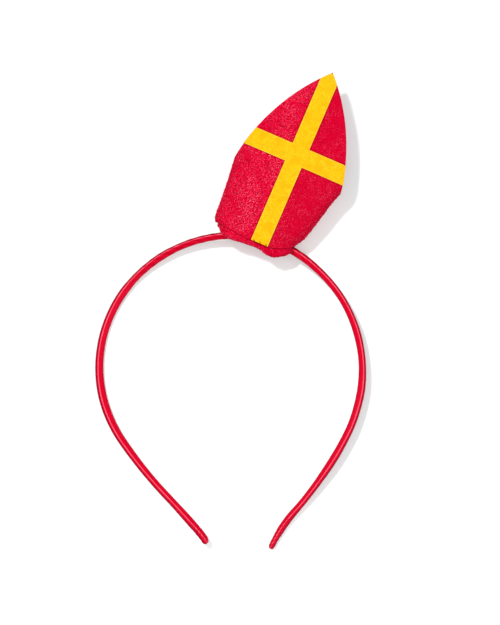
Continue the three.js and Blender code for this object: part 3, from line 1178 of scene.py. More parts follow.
    def heading(self, along: float) -> float:
        """How far the band has turned at a place, in radians, clockwise from above."""
        out = self.place(along)[1]
        return math.atan2(out[0], out[1])

    @cached_property
    def section(self) -> np.ndarray:
        """Points round the section, evenly spread on a smooth curve.

        Returns:
            The points as shares of half the section's size, one to a row.
        """
        keys = np.array(self.profile)
        count = len(keys)
        fine = []
        for k in range(count):
            p0, p1, p2, p3 = (keys[(k + d) % count] for d in (-1, 0, 1, 2))
            for t in np.linspace(0, 1, 24, endpoint=False):
                fine.append(
                    0.5 * (2 * p1 + (p2 - p0) * t + (2 * p0 - 5 * p1 + 4 * p2 - p3) * t * t
                           + (3 * p1 - p0 - 3 * p2 + p3) * t * t * t)
                )
        fine = np.array(fine + [fine[0]])
        sized = fine * (self.thick / 2, self.wide / 2)
        run = np.concatenate([[0], np.cumsum(np.linalg.norm(np.diff(sized, axis=0), axis=1))])
        even = np.linspace(0, run[-1], self.around, endpoint=False)
        return np.stack([np.interp(even, run, fine[:, c]) for c in (0, 1)], 1)

    def ring(self, along: float, grow: float, shrink: float) -> np.ndarray:
        """A ring of the band's surface.

        Args:
            along: place of the ring.
            grow: how far it stands off the ribbon.
            shrink: share of its size, for the rounded tips.

        Returns:
            The ring's points, one to a row.
        """
        at, out = self.place(along)
        side = self.left if along < 0 else self.right
        share = abs(along) / self.side_length
        at = at + out * between(side.shifts, 1, share)
        thick = self.thick * between(side.widths, 1, share) * shrink / 2 + grow
        wide = self.wide * shrink / 2 + grow
        u, v = self.section[:, 0] * thick, self.section[:, 1] * wide
        return at + u[:, None] * out + v[:, None] * np.array([0.0, 0.0, 1.0])

    def sleeve(self, stations: list, grow: float) -> np.ndarray:
        """Rings at stations, each a place and a shrink, as one array of points."""
        return np.concatenate([self.ring(a, grow, s) for a, s in stations])

    def tip_stations(self, sign: int, grow: float = 0.0) -> list:
        """Stations of a rounded tip.

        Args:
            sign: -1 for the left tip and 1 for the right one.
            grow: how far its surface stands off the ribbon.

        Returns:
            Places and shrinks, from the straight part outwards.
        """
        side = self.left if sign < 0 else self.right
        straight = self.side_length + side.reach - self.tip_round
        angles = np.linspace(0.12, 0.5 * math.pi - 0.06, 9)
        return [
            (sign * (straight + (self.tip_round + grow) * math.sin(a)), math.cos(a) ** 0.8)
            for a in angles
        ]

    def creases(
        self, points: np.ndarray, along: np.ndarray, across: np.ndarray
    ) -> tuple[np.ndarray, np.ndarray]:
        """The ribbon's small slanting creases: long on the crown, short on the ends.

        Args:
            points: points of its surface.
            along: their places along the band.
            across: their places round the section, as a share of a turn.

        Returns:
            How far each point stands out, and how deep in a crease it lies, as a share, which the satin
            paints as shade.
        """
        share = along / self.side_length
        crown = smoothstep(share, -0.36, -0.16) * (1 - smoothstep(share, 0.15, 0.3))
        ends = np.maximum(smoothstep(-share, 0.88, 0.95), smoothstep(share, 0.86, 0.93))
        phase = 2 * math.pi * (along * (1 + 1.4 * ends) / self.crease + self.crease_turns * across)
        strong = 0.12 + 0.88 * np.maximum(crown, 0.7 * ends)
        strong *= 1 - 0.7 * smoothstep(np.abs(across - 0.25), 0.18, 0.28)
        lumps = wander(points, 3.0 * MM, 4.0, 2)
        wave = np.sin(phase + 2.0 * wander(points, 6 * MM, 9.0, 1))
        height = strong * (wave * (0.6 + 0.7 * lumps) + 0.5 * lumps)
        return self.crease_deep * height, (0.6 + 0.35 * ends) * smoothstep(-height, 0.0, 0.6)

    def skin(self, name: str, stations: list, grow: float, detail: bool) -> bpy.types.Mesh:
        """A closed sleeve over stations.

        Args:
            name: the mesh's name.
            stations: places and shrinks, in order along the band.
            grow: how far it stands off the ribbon.
            detail: whether it gets the ribbon's creases.

        Returns:
            The mesh, with a UV map in metres and the attributes across, fold, the mask of the painted
            highlight, and crease, the painted shade in the creases.
        """
        n = self.around
        points = self.sleeve(stations, grow)
        rows = len(stations)
        along = np.repeat([a for a, _ in stations], n)
        across = np.tile(np.arange(n) / n, rows)
        ends = [points[:n].mean(0), points[-n:].mean(0)]
        faces = wrap_faces(rows, n)
        first = rows * n
        for j in range(n):
            k = (j + 1) % n
            faces.append((first, k, j))
            faces.append((first + 1, first - n + j, first - n + k))
        points = np.concatenate([points, ends])
        mesh = mesh_of(name, points, faces)
        valley = np.zeros(first)
        if detail:
            normals = np.zeros(len(points) * 3, np.float32)
            mesh.vertices.foreach_get("normal", normals)
            stand, valley = self.creases(points[:first], along, across)
            points[:first] += normals.reshape(-1, 3)[:first] * stand[:, None]
            mesh.vertices.foreach_set("co", points.astype(np.float32).ravel())
        tall = np.tile(self.section, (rows, 1))
        line = np.repeat([self.highlight_at(a) for a, _ in stations], n)
        # The painted highlight along the fold line
        fold = 1 - smoothstep(np.abs(tall[:, 0] - line), 0.0, self.highlight_wide)
        fold *= smoothstep(tall[:, 1], -0.1, 0.1)
        mark(mesh, "across", np.concatenate([tall[:, 0], [0, 0]]))
        mark(mesh, "fold", np.concatenate([fold, [0, 0]]))
        mark(mesh, "crease", np.concatenate([valley, [0, 0]]))
        layer = mesh.uv_layers.new(name="cloth")
        girth = 2.2 * (self.thick + self.wide) * 0.86
        for polygon in mesh.polygons:
            for loop, vertex in zip(polygon.loop_indices, polygon.vertices):
                if vertex < first:
                    turn = across[vertex]
                    if turn == 0 and max(across[v] for v in polygon.vertices if v < first) > 0.5:
                        turn = 1.0
                    layer.data[loop].uv = (along[vertex], turn * girth)
                else:
                    layer.data[loop].uv = (along[0 if vertex == first else first - 1], 0)
        mesh.update()
        return mesh

    def build(self) -> bpy.types.Object:
        """Builds the ribbon and its folded ends.

        Returns:
            The ribbon, which stands for the solid band.
        """
        ends = {
            side.sign: side.sign * (self.side_length + side.reach - self.tip_round)
            for side in (self.left, self.right)
        }
        count = math.ceil((ends[1] - ends[-1]) / self.step)
        stations = [
            *reversed(self.tip_stations(-1)),
            *((a, 1.0) for a in np.linspace(ends[-1], ends[1], count + 1)),
            *self.tip_stations(1),
        ]
        ribbon = object_of(
            "satin_ribbon", self.skin("satin_ribbon", stations, 0.0, True), self.material
        )
        dress(ribbon, Slot.SATIN, "headband")
        for sign, name in ((-1, "left_end_fold"), (1, "right_end_fold")):
            start = sign * (self.side_length - self.end_fold)
            middle = np.linspace(start, ends[sign], 16)
            places = [(start, 0.86), *((a, 1.0) for a in middle)]
            places += self.tip_stations(sign, self.end_fold_thick)
            if sign < 0:
                places.reverse()
            fold = object_of(
                name, self.skin(name, places, self.end_fold_thick, True), self.material
            )
            dress(fold, Slot.SATIN)
        return ribbon


# The mitre


@dataclass(frozen=True)
class MitreForm:
    """Shape of the mitre, which lies on its back: across it is x, up it is y, and z is depth."""

    band: Headband
    height: float = 93 * MM
    half_width: float = 28 * MM
    depth: float = 27.2 * MM
    felt: float = 1.5 * MM
    valley_up: float = 36 * MM
    valley_rise: float = 3 * MM
    peak_half_width: float = 28.2 * MM
    peak_sag: float = 5 * MM
    along: float = 16.2 * MM
    seat: float = 2.8 * MM
    twist: float = math.radians(10.5)
    # Share of the height; then the left and right half width, the depth, and how square it is
    rows: Rows = (
        (-0.02, 0.78, 0.52, 0.82, 3.2),
        (0.01, 0.833, 0.56, 0.83, 3.2),
        (0.022, 0.878, 0.572, 0.837, 3.3),
        (0.035, 0.906, 0.588, 0.842, 3.4),
        (0.06, 0.921, 0.602, 0.85, 3.5),
        (0.12, 0.932, 0.71, 0.88, 3.8),
        (0.24, 0.96, 0.818, 0.95, 4.1),
        (0.32, 0.988, 0.88, 0.985, 4.2),
        (0.387, 1.005, 0.945, 1.0, 4.3),
        (0.43, 1.02, 1.01, 1.0, 4.3),
        (0.47, 1.05, 1.05, 1.0, 4.4),
        (0.65, 1.18, 1.18, 1.0, 5.0),
        (1.0, 1.25, 1.25, 1.0, 5.0),
    )
    # Rise of the lower rim at the side, the share of the half width where it starts, and its power
    rim_right: tuple[float, float, float] = (5.4 * MM, 0.35, 2.0)
    rim_left: tuple[float, float, float] = (1.6 * MM, 0.0, 1.5)

    @cached_property
    def lean(self) -> float:
        """Turn of the mitre about the vertical, in radians."""
        return -(self.band.heading(self.along) + self.twist)

    @cached_property
    def origin(self) -> np.ndarray:
        """The middle of the base line, on the floor."""
        at, out = self.band.place(self.along)
        return np.array([at[0] - self.seat * out[0], at[1] - self.seat * out[1], 0.0])

    def to_frame(self, points: np.ndarray) -> np.ndarray:
        """Moves points from the mitre's own frame to the object's.

        Args:
            points: the points, with x, y and z on the last axis.

        Returns:
            The same points in the object's frame.
        """
        c, s = math.cos(self.lean), math.sin(self.lean)
        x, y, z = points[..., 0], points[..., 1], points[..., 2]
        return np.stack(
            [self.origin[0] + c * x - s * y, self.origin[1] + s * x + c * y, z], -1
        )

    def turned(self, vectors: np.ndarray) -> np.ndarray:
        """Turns directions from the mitre's own frame to the object's."""
        return self.to_frame(vectors) - self.to_frame(np.zeros_like(vectors))

    @cached_property
    def table(self) -> tuple[np.ndarray, np.ndarray]:
        """The rows on smooth curves, finely divided.

        Returns:
            Heights, and the four columns of the section at each.
        """
        ups = np.linspace(-0.03, 1.02, 800)
        columns = [[between(self.rows, c, u) for u in ups] for c in (1, 2, 3, 4)]
        return ups * self.height, np.array(columns)

    def section(self, up: np.ndarray) -> tuple[np.ndarray, ...]:
        """The level section at heights.

        Args:
            up: the heights.

        Returns:
            Its middle, half width, half depth and squareness at each.
        """
        ups, columns = self.table
        left, right, deep, square = (np.interp(up, ups, c) for c in columns)
        left, right = -self.half_width * left, self.half_width * right
        return (left + right) / 2, (right - left) / 2, self.depth * deep / 2, square

    @staticmethod
    def shares(angle: np.ndarray, square: np.ndarray) -> tuple[np.ndarray, np.ndarray]:
        """Shares across and deep of a point on the section, counted from the right seam."""
        c, s = np.cos(angle), np.sin(angle)
        return np.sign(c) * np.abs(c) ** (2 / square), np.sign(s) * np.abs(s) ** (2 / square)

    def point(self, angle: np.ndarray, up: np.ndarray, inset: float) -> np.ndarray:
        """Points of the outer face, or inside it.

        Args:
            angle: angles round the section, from the right seam.
            up: the height of each.
            inset: how far they lie inside the outer face.

        Returns:
            The points in the mitre's own frame, with z from the middle of the depth.
        """
        middle, half, deep, square = self.section(up)
        across, down = self.shares(angle, square)
        sx = np.sign(across) * np.abs(across) ** (square - 1) / half
        sz = np.sign(down) * np.abs(down) ** (square - 1) / deep
        size = np.hypot(sx, sz)
        x = middle + half * across - inset * sx / size
        return np.stack([x, up + 0 * x, deep * down - inset * sz / size], -1)

    def rim(self, angle: np.ndarray) -> np.ndarray:
        """Height of the lower rim.

        Args:
            angle: angles round the section, from the right seam.

        Returns:
            The height at each.
        """
        across, _ = self.shares(angle, self.section(np.array(0.0))[3])
        rise, start, power = (
            np.where(across > 0, r, l) for r, l in zip(self.rim_right, self.rim_left)
        )
        return rise * np.maximum(0, (np.abs(across) - start) / (1 - start)) ** power

    def peak(self, up: np.ndarray) -> np.ndarray:
        """Half width of the peak, on an arc from the valley's level to the tip.

        Args:
            up: the heights.

        Returns:
            The half width at each.
        """
        rise = self.height - self.valley_up
        chord = math.hypot(rise, self.peak_half_width)
        radius = chord * chord / (8 * self.peak_sag) + self.peak_sag / 2
        cx = self.peak_half_width / 2 - rise / chord * (radius - self.peak_sag)
        cy = self.valley_up + rise / 2 - self.peak_half_width / chord * (radius - self.peak_sag)
        return cx + np.sqrt(np.maximum(0, radius**2 - (up - cy) ** 2))

    def cut(self, angle: np.ndarray) -> np.ndarray:
        """Height of the cut edge: the side valley, or the peak's arched edge.

        Args:
            angle: angles round the section, from the right seam.

        Returns:
            The height at each.
        """
        low = np.full_like(angle, self.valley_up)
        high = np.full_like(angle, self.height)
        for _ in range(40):
            up = (low + high) / 2
            middle, half, _, square = self.section(up)
            across, down = self.shares(angle, square)
            valley = self.valley_up + self.valley_rise * down / (1.001 - down)
            outside = (up > valley) | (np.abs(middle + half * across) > self.peak(up))
            high = np.where(outside, up, high)
            low = np.where(outside, low, up)
        return low

    def angles(self, columns: int) -> np.ndarray:
        """Angles from the right seam to the left one, even along the section.

        Args:
            columns: how many steps there are between the seams.

        Returns:
            The angles, one more than the steps.
        """
        fine = np.linspace(0, math.pi, 4000)
        at = self.point(fine, np.full_like(fine, self.valley_up), 0.0)
        run = np.concatenate([[0], np.cumsum(np.linalg.norm(np.diff(at, axis=0), axis=1))])
        return np.interp(np.linspace(0, run[-1], columns + 1), run, fine)

    def front_level(self, x: np.ndarray, up: np.ndarray) -> np.ndarray:
        """How high the front face lies over the floor.

        Args:
            x: places across the mitre.
            up: places up the mitre.

        Returns:
            The height over the floor at each.
        """
        middle, half, deep, square = self.section(up)
        share = np.minimum(1, np.abs(x - middle) / half)
        return deep + deep * (1 - share**square) ** (1 / square)

    def waves(self, points: np.ndarray) -> np.ndarray:
        """The felt's gentle unevenness, the same for whatever lies on it."""
        return 0.22 * MM * wander(points, 16 * MM, 21.0, 1)


@dataclass(frozen=True)
class FeltWall:
    """One felt wall of the mitre, from side seam to side seam, and the ground for its loose fibres."""

    form: MitreForm
    face: Face
    material: bpy.types.Material
    columns: int = 190
    rows: int = 130
    gap: float = 0.06 * MM
    lumps: float = 0.085 * MM
    edge: float = 0.12 * MM

    @property
    def name(self) -> str:
        """Name of the piece."""
        return f"felt_{self.face.name.lower()}_wall"

    def layer(self, inset: float, low_in: float, high_in: float) -> np.ndarray:
        """A grid of points over the wall.

        Args:
            inset: depth under the outer face.
            low_in: how far the lowest row is pulled in from the rim.
            high_in: how far the top row is pulled in from the cut edge.

        Returns:
            Points by row and column, in the object's frame.
        """
        angles = self.form.angles(self.columns)
        low = self.form.rim(angles) + low_in
        high = self.form.cut(angles) - high_in
        t = np.linspace(0, 1, self.rows + 1)[:, None]
        up = low + (high - low) * t
        at = self.form.point(np.broadcast_to(angles, up.shape), up, inset)
        deep = self.form.section(up)[2]
        out = np.maximum(at[..., 2], self.gap / 2)
        out[:, [0, -1]] = self.gap / 2
        at[..., 2] = deep + self.face.value * out
        return self.form.to_frame(at)

    def build(self) -> bpy.types.Object:
        """Builds the wall.

        Returns:
            The wall's piece.
        """
        outer = self.layer(0.0, self.edge, self.edge)
        inner = self.layer(self.form.felt, self.edge, self.edge)
        middle = self.layer(self.form.felt / 2, -self.edge, -self.edge * 0.5)
        rows, columns = self.rows + 1, self.columns + 1
        flat = [outer.reshape(-1, 3), inner.reshape(-1, 3)]
        layer = rows * columns
        low_edge, high_edge = middle[0], middle[-1]
        points = np.concatenate([*flat, low_edge, high_edge])
        flip = self.face is Face.FRONT
        faces = []

        def quad(*corners: int) -> None:
            """Adds a face, turned so that it points outwards."""
            faces.append(corners if flip else corners[::-1])

        for i in range(self.rows):
            for j in range(self.columns):
                a, b = i * columns + j, (i + 1) * columns + j
                quad(a, b, b + 1, a + 1)
                quad(layer + a, layer + a + 1, layer + b + 1, layer + b)
        for i in range(self.rows):
            a, b = i * columns, (i + 1) * columns
            quad(a, layer + a, layer + b, b)
            a, b = a + self.columns, b + self.columns
            quad(a, b, layer + b, layer + a)
        top = self.rows * columns
        for j in range(self.columns):
            e = 2 * layer + j
            quad(j, j + 1, e + 1, e)
            quad(e, e + 1, layer + j + 1, layer + j)
            h = 2 * layer + columns + j
            quad(top + j, h, h + 1, top + j + 1)
            quad(h, layer + top + j, layer + top + j + 1, h + 1)
        for j, turn in ((0, 1), (self.columns, -1)):
            low = (j, 2 * layer + j, layer + j)
            high = (top + j, layer + top + j, 2 * layer + columns + j)
            quad(*low[::turn])
            quad(*high[::turn])
        mesh = mesh_of(self.name, points, faces)
        normals = np.zeros(len(points) * 3, np.float32)
        mesh.vertices.foreach_get("normal", normals)
        normals = normals.reshape(-1, 3)
        fine = wander(points[:layer], 1.1 * MM, 3.0, 3)
        broad = self.form.waves(points[:layer])
        seam = np.abs(np.linspace(-1, 1, columns))
        calm = np.tile(1 - smoothstep(seam, 0.97, 1.0), rows)
        move = self.lumps * fine + broad * calm
        floor_gap = points[:layer, 2] / MM
        if self.face is Face.BACK:
            move = np.where(floor_gap < 1.2, np.minimum(move, 0.0), move)
        points[:layer] += normals[:layer] * move[:, None]
        mesh.vertices.foreach_set("co", points.astype(np.float32).ravel())
        mesh.update()
        wall = object_of(self.name, mesh, self.material)
        return dress(wall, Slot.RED_FELT, f"mitre_{self.face.name.lower()}")

    def ground(self) -> bpy.types.Mesh:
        """The outer face alone, for the fibres, with a nap that is fuller on the front's left, so that the
        light pink fibres put a painted sheen where the lamp falls.

        Returns:
            The mesh, with the attribute nap.
        """
        outer = self.layer(0.0, self.edge, self.edge)
        rows, columns = outer.shape[:2]
        points = outer.reshape(-1, 3)
        faces = []
        for i in range(rows - 1):
            for j in range(columns - 1):
                a, b = i * columns + j, (i + 1) * columns + j
                quad = (a, b, b + 1, a + 1)
                faces.append(quad if self.face is Face.FRONT else quad[::-1])
        mesh = mesh_of("ground", points, faces)
        across = np.tile(np.linspace(1, -1, columns), rows)
        high = np.repeat(np.linspace(0, 1, rows), columns)
        # More fibres on the front's left, where the lamp falls: their light pink colour is a painted sheen
        nap = 0.05 + 0.25 * (1 - smoothstep(across, -0.35, 0.3)) * (1 - 0.6 * smoothstep(high, 0.4, 0.7))
        nap *= 0.35 + 1.1 * smoothstep(wander(points, 7 * MM, 51.0, 2), -0.35, 0.3)
        nap *= high > 0.03
        if self.face is Face.BACK:
            nap = 0.3 * (points[:, 2] > 1.0 * MM)
        mark(mesh, "nap", nap)
        return mesh


@dataclass(frozen=True)
class FeltCross:
    """The yellow felt cross on the front wall, cut flush with the peak's edges."""

    form: MitreForm
    material: bpy.types.Material
    outline: CrossOutline = CrossOutline()
    foot_up: float = 0.5 * MM
    top_down: float = 0.6 * MM
    thick: float = 0.45 * MM
    lift: float = 0.05 * MM
    step: float = 0.7 * MM
    bevel: float = 0.15 * MM

    def build(self) -> bpy.types.Object:
        """Builds the cross.

        Returns:
            The cross's piece.
        """
        outline = self.outline
        half_bar, arm_low, arm_high = outline.bar_half, outline.arm_low, outline.arm_high

        def run(start: float, end: float) -> list[float]:
            """Even values from start to end, without the last."""
            count = math.ceil((end - start) / self.step)
            return list(np.linspace(start, end, count, endpoint=False))

        end = self.form.height - self.top_down
        rows = [*run(self.foot_up, arm_low), *run(arm_low, arm_high), *run(arm_high, end), end]
        side = math.ceil((self.form.peak_half_width - half_bar) / self.step)
        bar = math.ceil(2 * half_bar / self.step)
        width = 2 * side + bar
        points: list[tuple[float, float, float]] = []
        number: dict[tuple[int, int], int] = {}

        def place(i: int, k: int) -> int:
            """Number of a point of the grid, which is made on first use.

            Args:
                i: the point's row.
                k: the point's column.

            Returns:
                Its number.
            """
            if (i, k) not in number:
                up = rows[i]
                edge = float(self.form.peak(np.array(up)))
                half = min(half_bar, edge)
                if k < side:
                    x = -edge + (edge - half) * k / side
                elif k > side + bar:
                    x = half + (edge - half) * (k - side - bar) / side
                else:
                    x = -half + 2 * half * (k - side) / bar
                number[i, k] = len(points)
                points.append((x, up, 0.0))
            return number[i, k]

        faces = []
        for i in range(len(rows) - 1):
            in_arm = arm_low < (rows[i] + rows[i + 1]) / 2 < arm_high
            for k in range(width):
                if in_arm or side <= k < side + bar:
                    faces.append((place(i, k), place(i, k + 1), place(i + 1, k + 1), place(i + 1, k)))
        flat = np.array(points)
        flat[:, 2] = self.form.front_level(flat[:, 0], flat[:, 1]) + self.lift
        world = self.form.to_frame(flat)
        world[:, 2] += self.form.waves(world)
        mesh = mesh_of("felt_cross", world, faces)
        cross = object_of("felt_cross", mesh, self.material)
        thicken = cross.modifiers.new("thickness", "SOLIDIFY")
        thicken.thickness = self.thick
        thicken.offset = 1.0
        thicken.use_even_offset = True
        soften = cross.modifiers.new("soft_edges", "BEVEL")
        soften.width = self.bevel
        soften.segments = 2
        soften.limit_method = "ANGLE"
        soften.angle_limit = math.radians(50)
        settle(cross)
        at = np.zeros(len(cross.data.vertices) * 3, np.float32)
        cross.data.vertices.foreach_get("co", at)
        at = at.reshape(-1, 3)
        at[:, 2] += 0.05 * MM * wander(at, 1.0 * MM, 13.0, 3)
        cross.data.vertices.foreach_set("co", at.ravel())
        cross.data.update()
        return dress(cross, Slot.YELLOW_FELT, "cross")

    def foot_line(self) -> tuple[np.ndarray, np.ndarray]:
        """The line along the cross's foot that its ticks are sewn over.

        Returns:
            Its points, and the outward direction at each.
        """
        bar = 2 * self.outline.bar_half
        x = np.linspace(-0.32 * bar, 0.4 * bar, 12)
        at = np.stack([x, np.full_like(x, self.foot_up + 0.15 * MM), np.zeros_like(x)], -1)
        at[:, 2] = self.form.front_level(at[:, 0], at[:, 1]) + self.lift + self.thick
        return self.form.to_frame(at), np.tile([0.0, 0.0, 1.0], (len(x), 1))


@dataclass(frozen=True)
class FeltPad:
    """The felt that closes the base: a disc whose rolled edge shows as a lobed lip."""

    form: MitreForm
    material: bpy.types.Material
    spokes: int = 220
    inset: float = 0.35 * MM
    gap: float = 0.05 * MM
    roll_out: float = 0.45 * MM
    slit_gap: float = 0.25 * MM
    # Place across the base, and the height of the lip's lowest edge there
    contour: Rows = (
        (-22 * MM, -0.6 * MM),
        (-21 * MM, -1.3 * MM),
        (-19.5 * MM, -2.6 * MM),
        (-17.5 * MM, -3.35 * MM),
        (-15 * MM, -3.6 * MM),
        (-12 * MM, -3.5 * MM),
        (-8 * MM, -2.8 * MM),
        (-5 * MM, -2.65 * MM),
        (-2 * MM, -2.45 * MM),
        (0 * MM, -2.2 * MM),
        (2 * MM, -2.6 * MM),
        (4 * MM, -3.15 * MM),
        (6 * MM, -3.7 * MM),
        (8.5 * MM, -3.7 * MM),
        (10 * MM, -3.25 * MM),
        (11.5 * MM, -2.4 * MM),
        (13 * MM, -1.4 * MM),
        (14.5 * MM, -0.3 * MM),
        (16 * MM, 0.8 * MM),
        (17 * MM, 1.9 * MM),
    )
    hidden_rise: float = 0.5 * MM
    overhang: float = 0.3 * MM
    tuck: float = 1.5 * MM
    least_edge: float = 0.9 * MM
    least_thick: float = 0.8 * MM
    # Rings of the upper and the lower face, as shares of the way out
    upper_rings: tuple[float, ...] = (0.3, 0.55, 0.75, 0.88, 0.96)
    lower_rings: tuple[float, ...] = (0.9, 0.8, 0.66, 0.45, 0.25)
    # Section of the rolled edge: shares of roll_out outwards, and of its drop downwards
    roll: Rows = (
        (-0.1, 0.02), (0.25, 0.06), (0.7, 0.16), (0.95, 0.3), (1.0, 0.46),
        (0.85, 0.64), (0.5, 0.8), (0.0, 0.92), (-0.8, 0.985), (-2.0, 1.0),
    )

    def build(self) -> bpy.types.Object:
        """Builds the pad, slit where the band passes through it.

        Returns:
            The pad's piece.
        """
        turn = np.linspace(0, 2 * math.pi, self.spokes, endpoint=False)
        folded = np.where(turn > math.pi, 2 * math.pi - turn, turn)
        side = np.where(turn > math.pi, -1.0, 1.0)
        rim = self.form.rim(folded)
        edge = self.form.point(folded, rim, self.inset)
        middle, half, level, _ = self.form.section(np.array(0.0))
        edge[:, 2] *= side
        edge[:, 0] += self.tuck * smoothstep((middle - edge[:, 0]) / half, 0.72, 1.0)
        lowest = np.array([between(self.contour, 1, x) for x in edge[:, 0]])
        lowest += self.hidden_rise * smoothstep(-edge[:, 2] / float(level), -0.3, 0.5)
        lowest += 0.07 * MM * np.sin(turn * 41) + 0.07 * MM * np.sin(turn * 23 + 1.0)
        drop = np.maximum(rim - self.gap - lowest - self.overhang, self.least_edge)
        outward = np.stack([edge[:, 0] - middle, edge[:, 2]], 1)
        outward /= np.linalg.norm(outward, axis=1)[:, None]
        rings = []

        def ring(share: float, out: float, up: np.ndarray) -> None:
            """Adds a ring of points.

            Args:
                share: its place, as a share of the way out.
                out: how far it is moved outwards beyond that.
                up: the height of each point.
            """
            x = middle + (edge[:, 0] - middle) * share + outward[:, 0] * out
            z = edge[:, 2] * share + outward[:, 1] * out
            rings.append(np.stack([x, up, float(level) + z], 1))

        def top_at(share: float) -> np.ndarray:
            """Height of the pad's upper face at a share of the way out."""
            return rim * max(0.0, (share - 0.5) / 0.5) ** 3 - self.gap - 0.1 * MM

        for share in self.upper_rings:
            ring(share, 0.0, top_at(share))
        for out, down in self.roll:
            ring(1.0, self.roll_out * out, rim - self.gap - drop * down)
        for share in self.lower_rings:
            at = middle + (edge[:, 0] - middle) * share
            under = np.array([between(self.contour, 1, x) for x in at])
            ring(share, 0.0, np.minimum(under + self.overhang, top_at(share) - self.least_thick))
        points = np.concatenate(rings)
        n = self.spokes
        faces = wrap_faces(len(rings), n)
        top, low = rings[0].mean(0), rings[-1].mean(0)
        last = len(points) - n
        for j in range(n):
            k = (j + 1) % n
            faces.append((len(points), k, j))
            faces.append((len(points) + 1, last + j, last + k))
        points = self.form.to_frame(np.concatenate([points, [top, low]]))
        mesh = mesh_of("felt_pad", points, faces)
        if self.volume(mesh) < 0:
            mesh.flip_normals()
        normals = np.zeros(len(points) * 3, np.float32)
        mesh.vertices.foreach_get("normal", normals)
        move = 0.11 * MM * wander(points, 1.3 * MM, 31.0, 3) + 0.1 * MM * wander(points, 3.2 * MM, 33.0, 1)
        points = points + normals.reshape(-1, 3) * move[:, None]
        mesh.vertices.foreach_set("co", points.astype(np.float32).ravel())
        mesh.update()
        pad = object_of("felt_pad", mesh, self.material)
        self.slit(pad)
        return dress(pad, Slot.RED_FELT, "base_pad")

    @staticmethod
    def volume(mesh: bpy.types.Mesh) -> float:
        """Signed volume of a closed mesh.

        Args:
            mesh: the mesh.

        Returns:
            The volume, positive where the faces point outwards.
        """
        mesh.calc_loop_triangles()
        at = [v.co for v in mesh.vertices]
        return sum(
            at[t.vertices[0]].dot(at[t.vertices[1]].cross(at[t.vertices[2]])) / 6
            for t in mesh.loop_triangles
        )

    def slit(self, pad: bpy.types.Object) -> None:
        """Cuts the way through for the band.

        Args:
            pad: the pad's piece.
        """
        band = self.form.band
        reach = 2 * self.form.half_width
        places = np.linspace(self.form.along - reach, self.form.along + reach, 90)
        stations = [(a, 1.0) for a in places]
        mesh = band.skin("slit", stations, self.slit_gap, False)
        cutter = object_of("slit", mesh, self.material)
        cut = pad.modifiers.new("slit", "BOOLEAN")
        cut.operation = "DIFFERENCE"
        cut.solver = "EXACT"
        cut.object = cutter
        settle(pad)
        bpy.data.objects.remove(cutter)

    def lip_line(self, count: int, front: bool) -> tuple[np.ndarray, np.ndarray]:
        """The seam line where the rim meets the pad.

        Args:
            count: how many points it has.
            front: the front wall's rim, or the back wall's.

        Returns:
            Its points, and the outward direction at each.
        """
        angle = np.linspace(0.2, math.pi - 0.42, count)
        rim = self.form.rim(angle)
        at = self.form.point(angle, rim, 0.0)
        inside = self.form.point(angle, rim, 1.0 * MM)
        sign = 1.0 if front else -1.0
        level = float(self.form.section(np.array(0.0))[2])
        facing = at - inside
        at[:, 2] = level + sign * at[:, 2]
        facing[:, 2] *= sign
        facing /= np.linalg.norm(facing, axis=1)[:, None]
        return self.form.to_frame(at), self.form.turned(facing)


# The studio


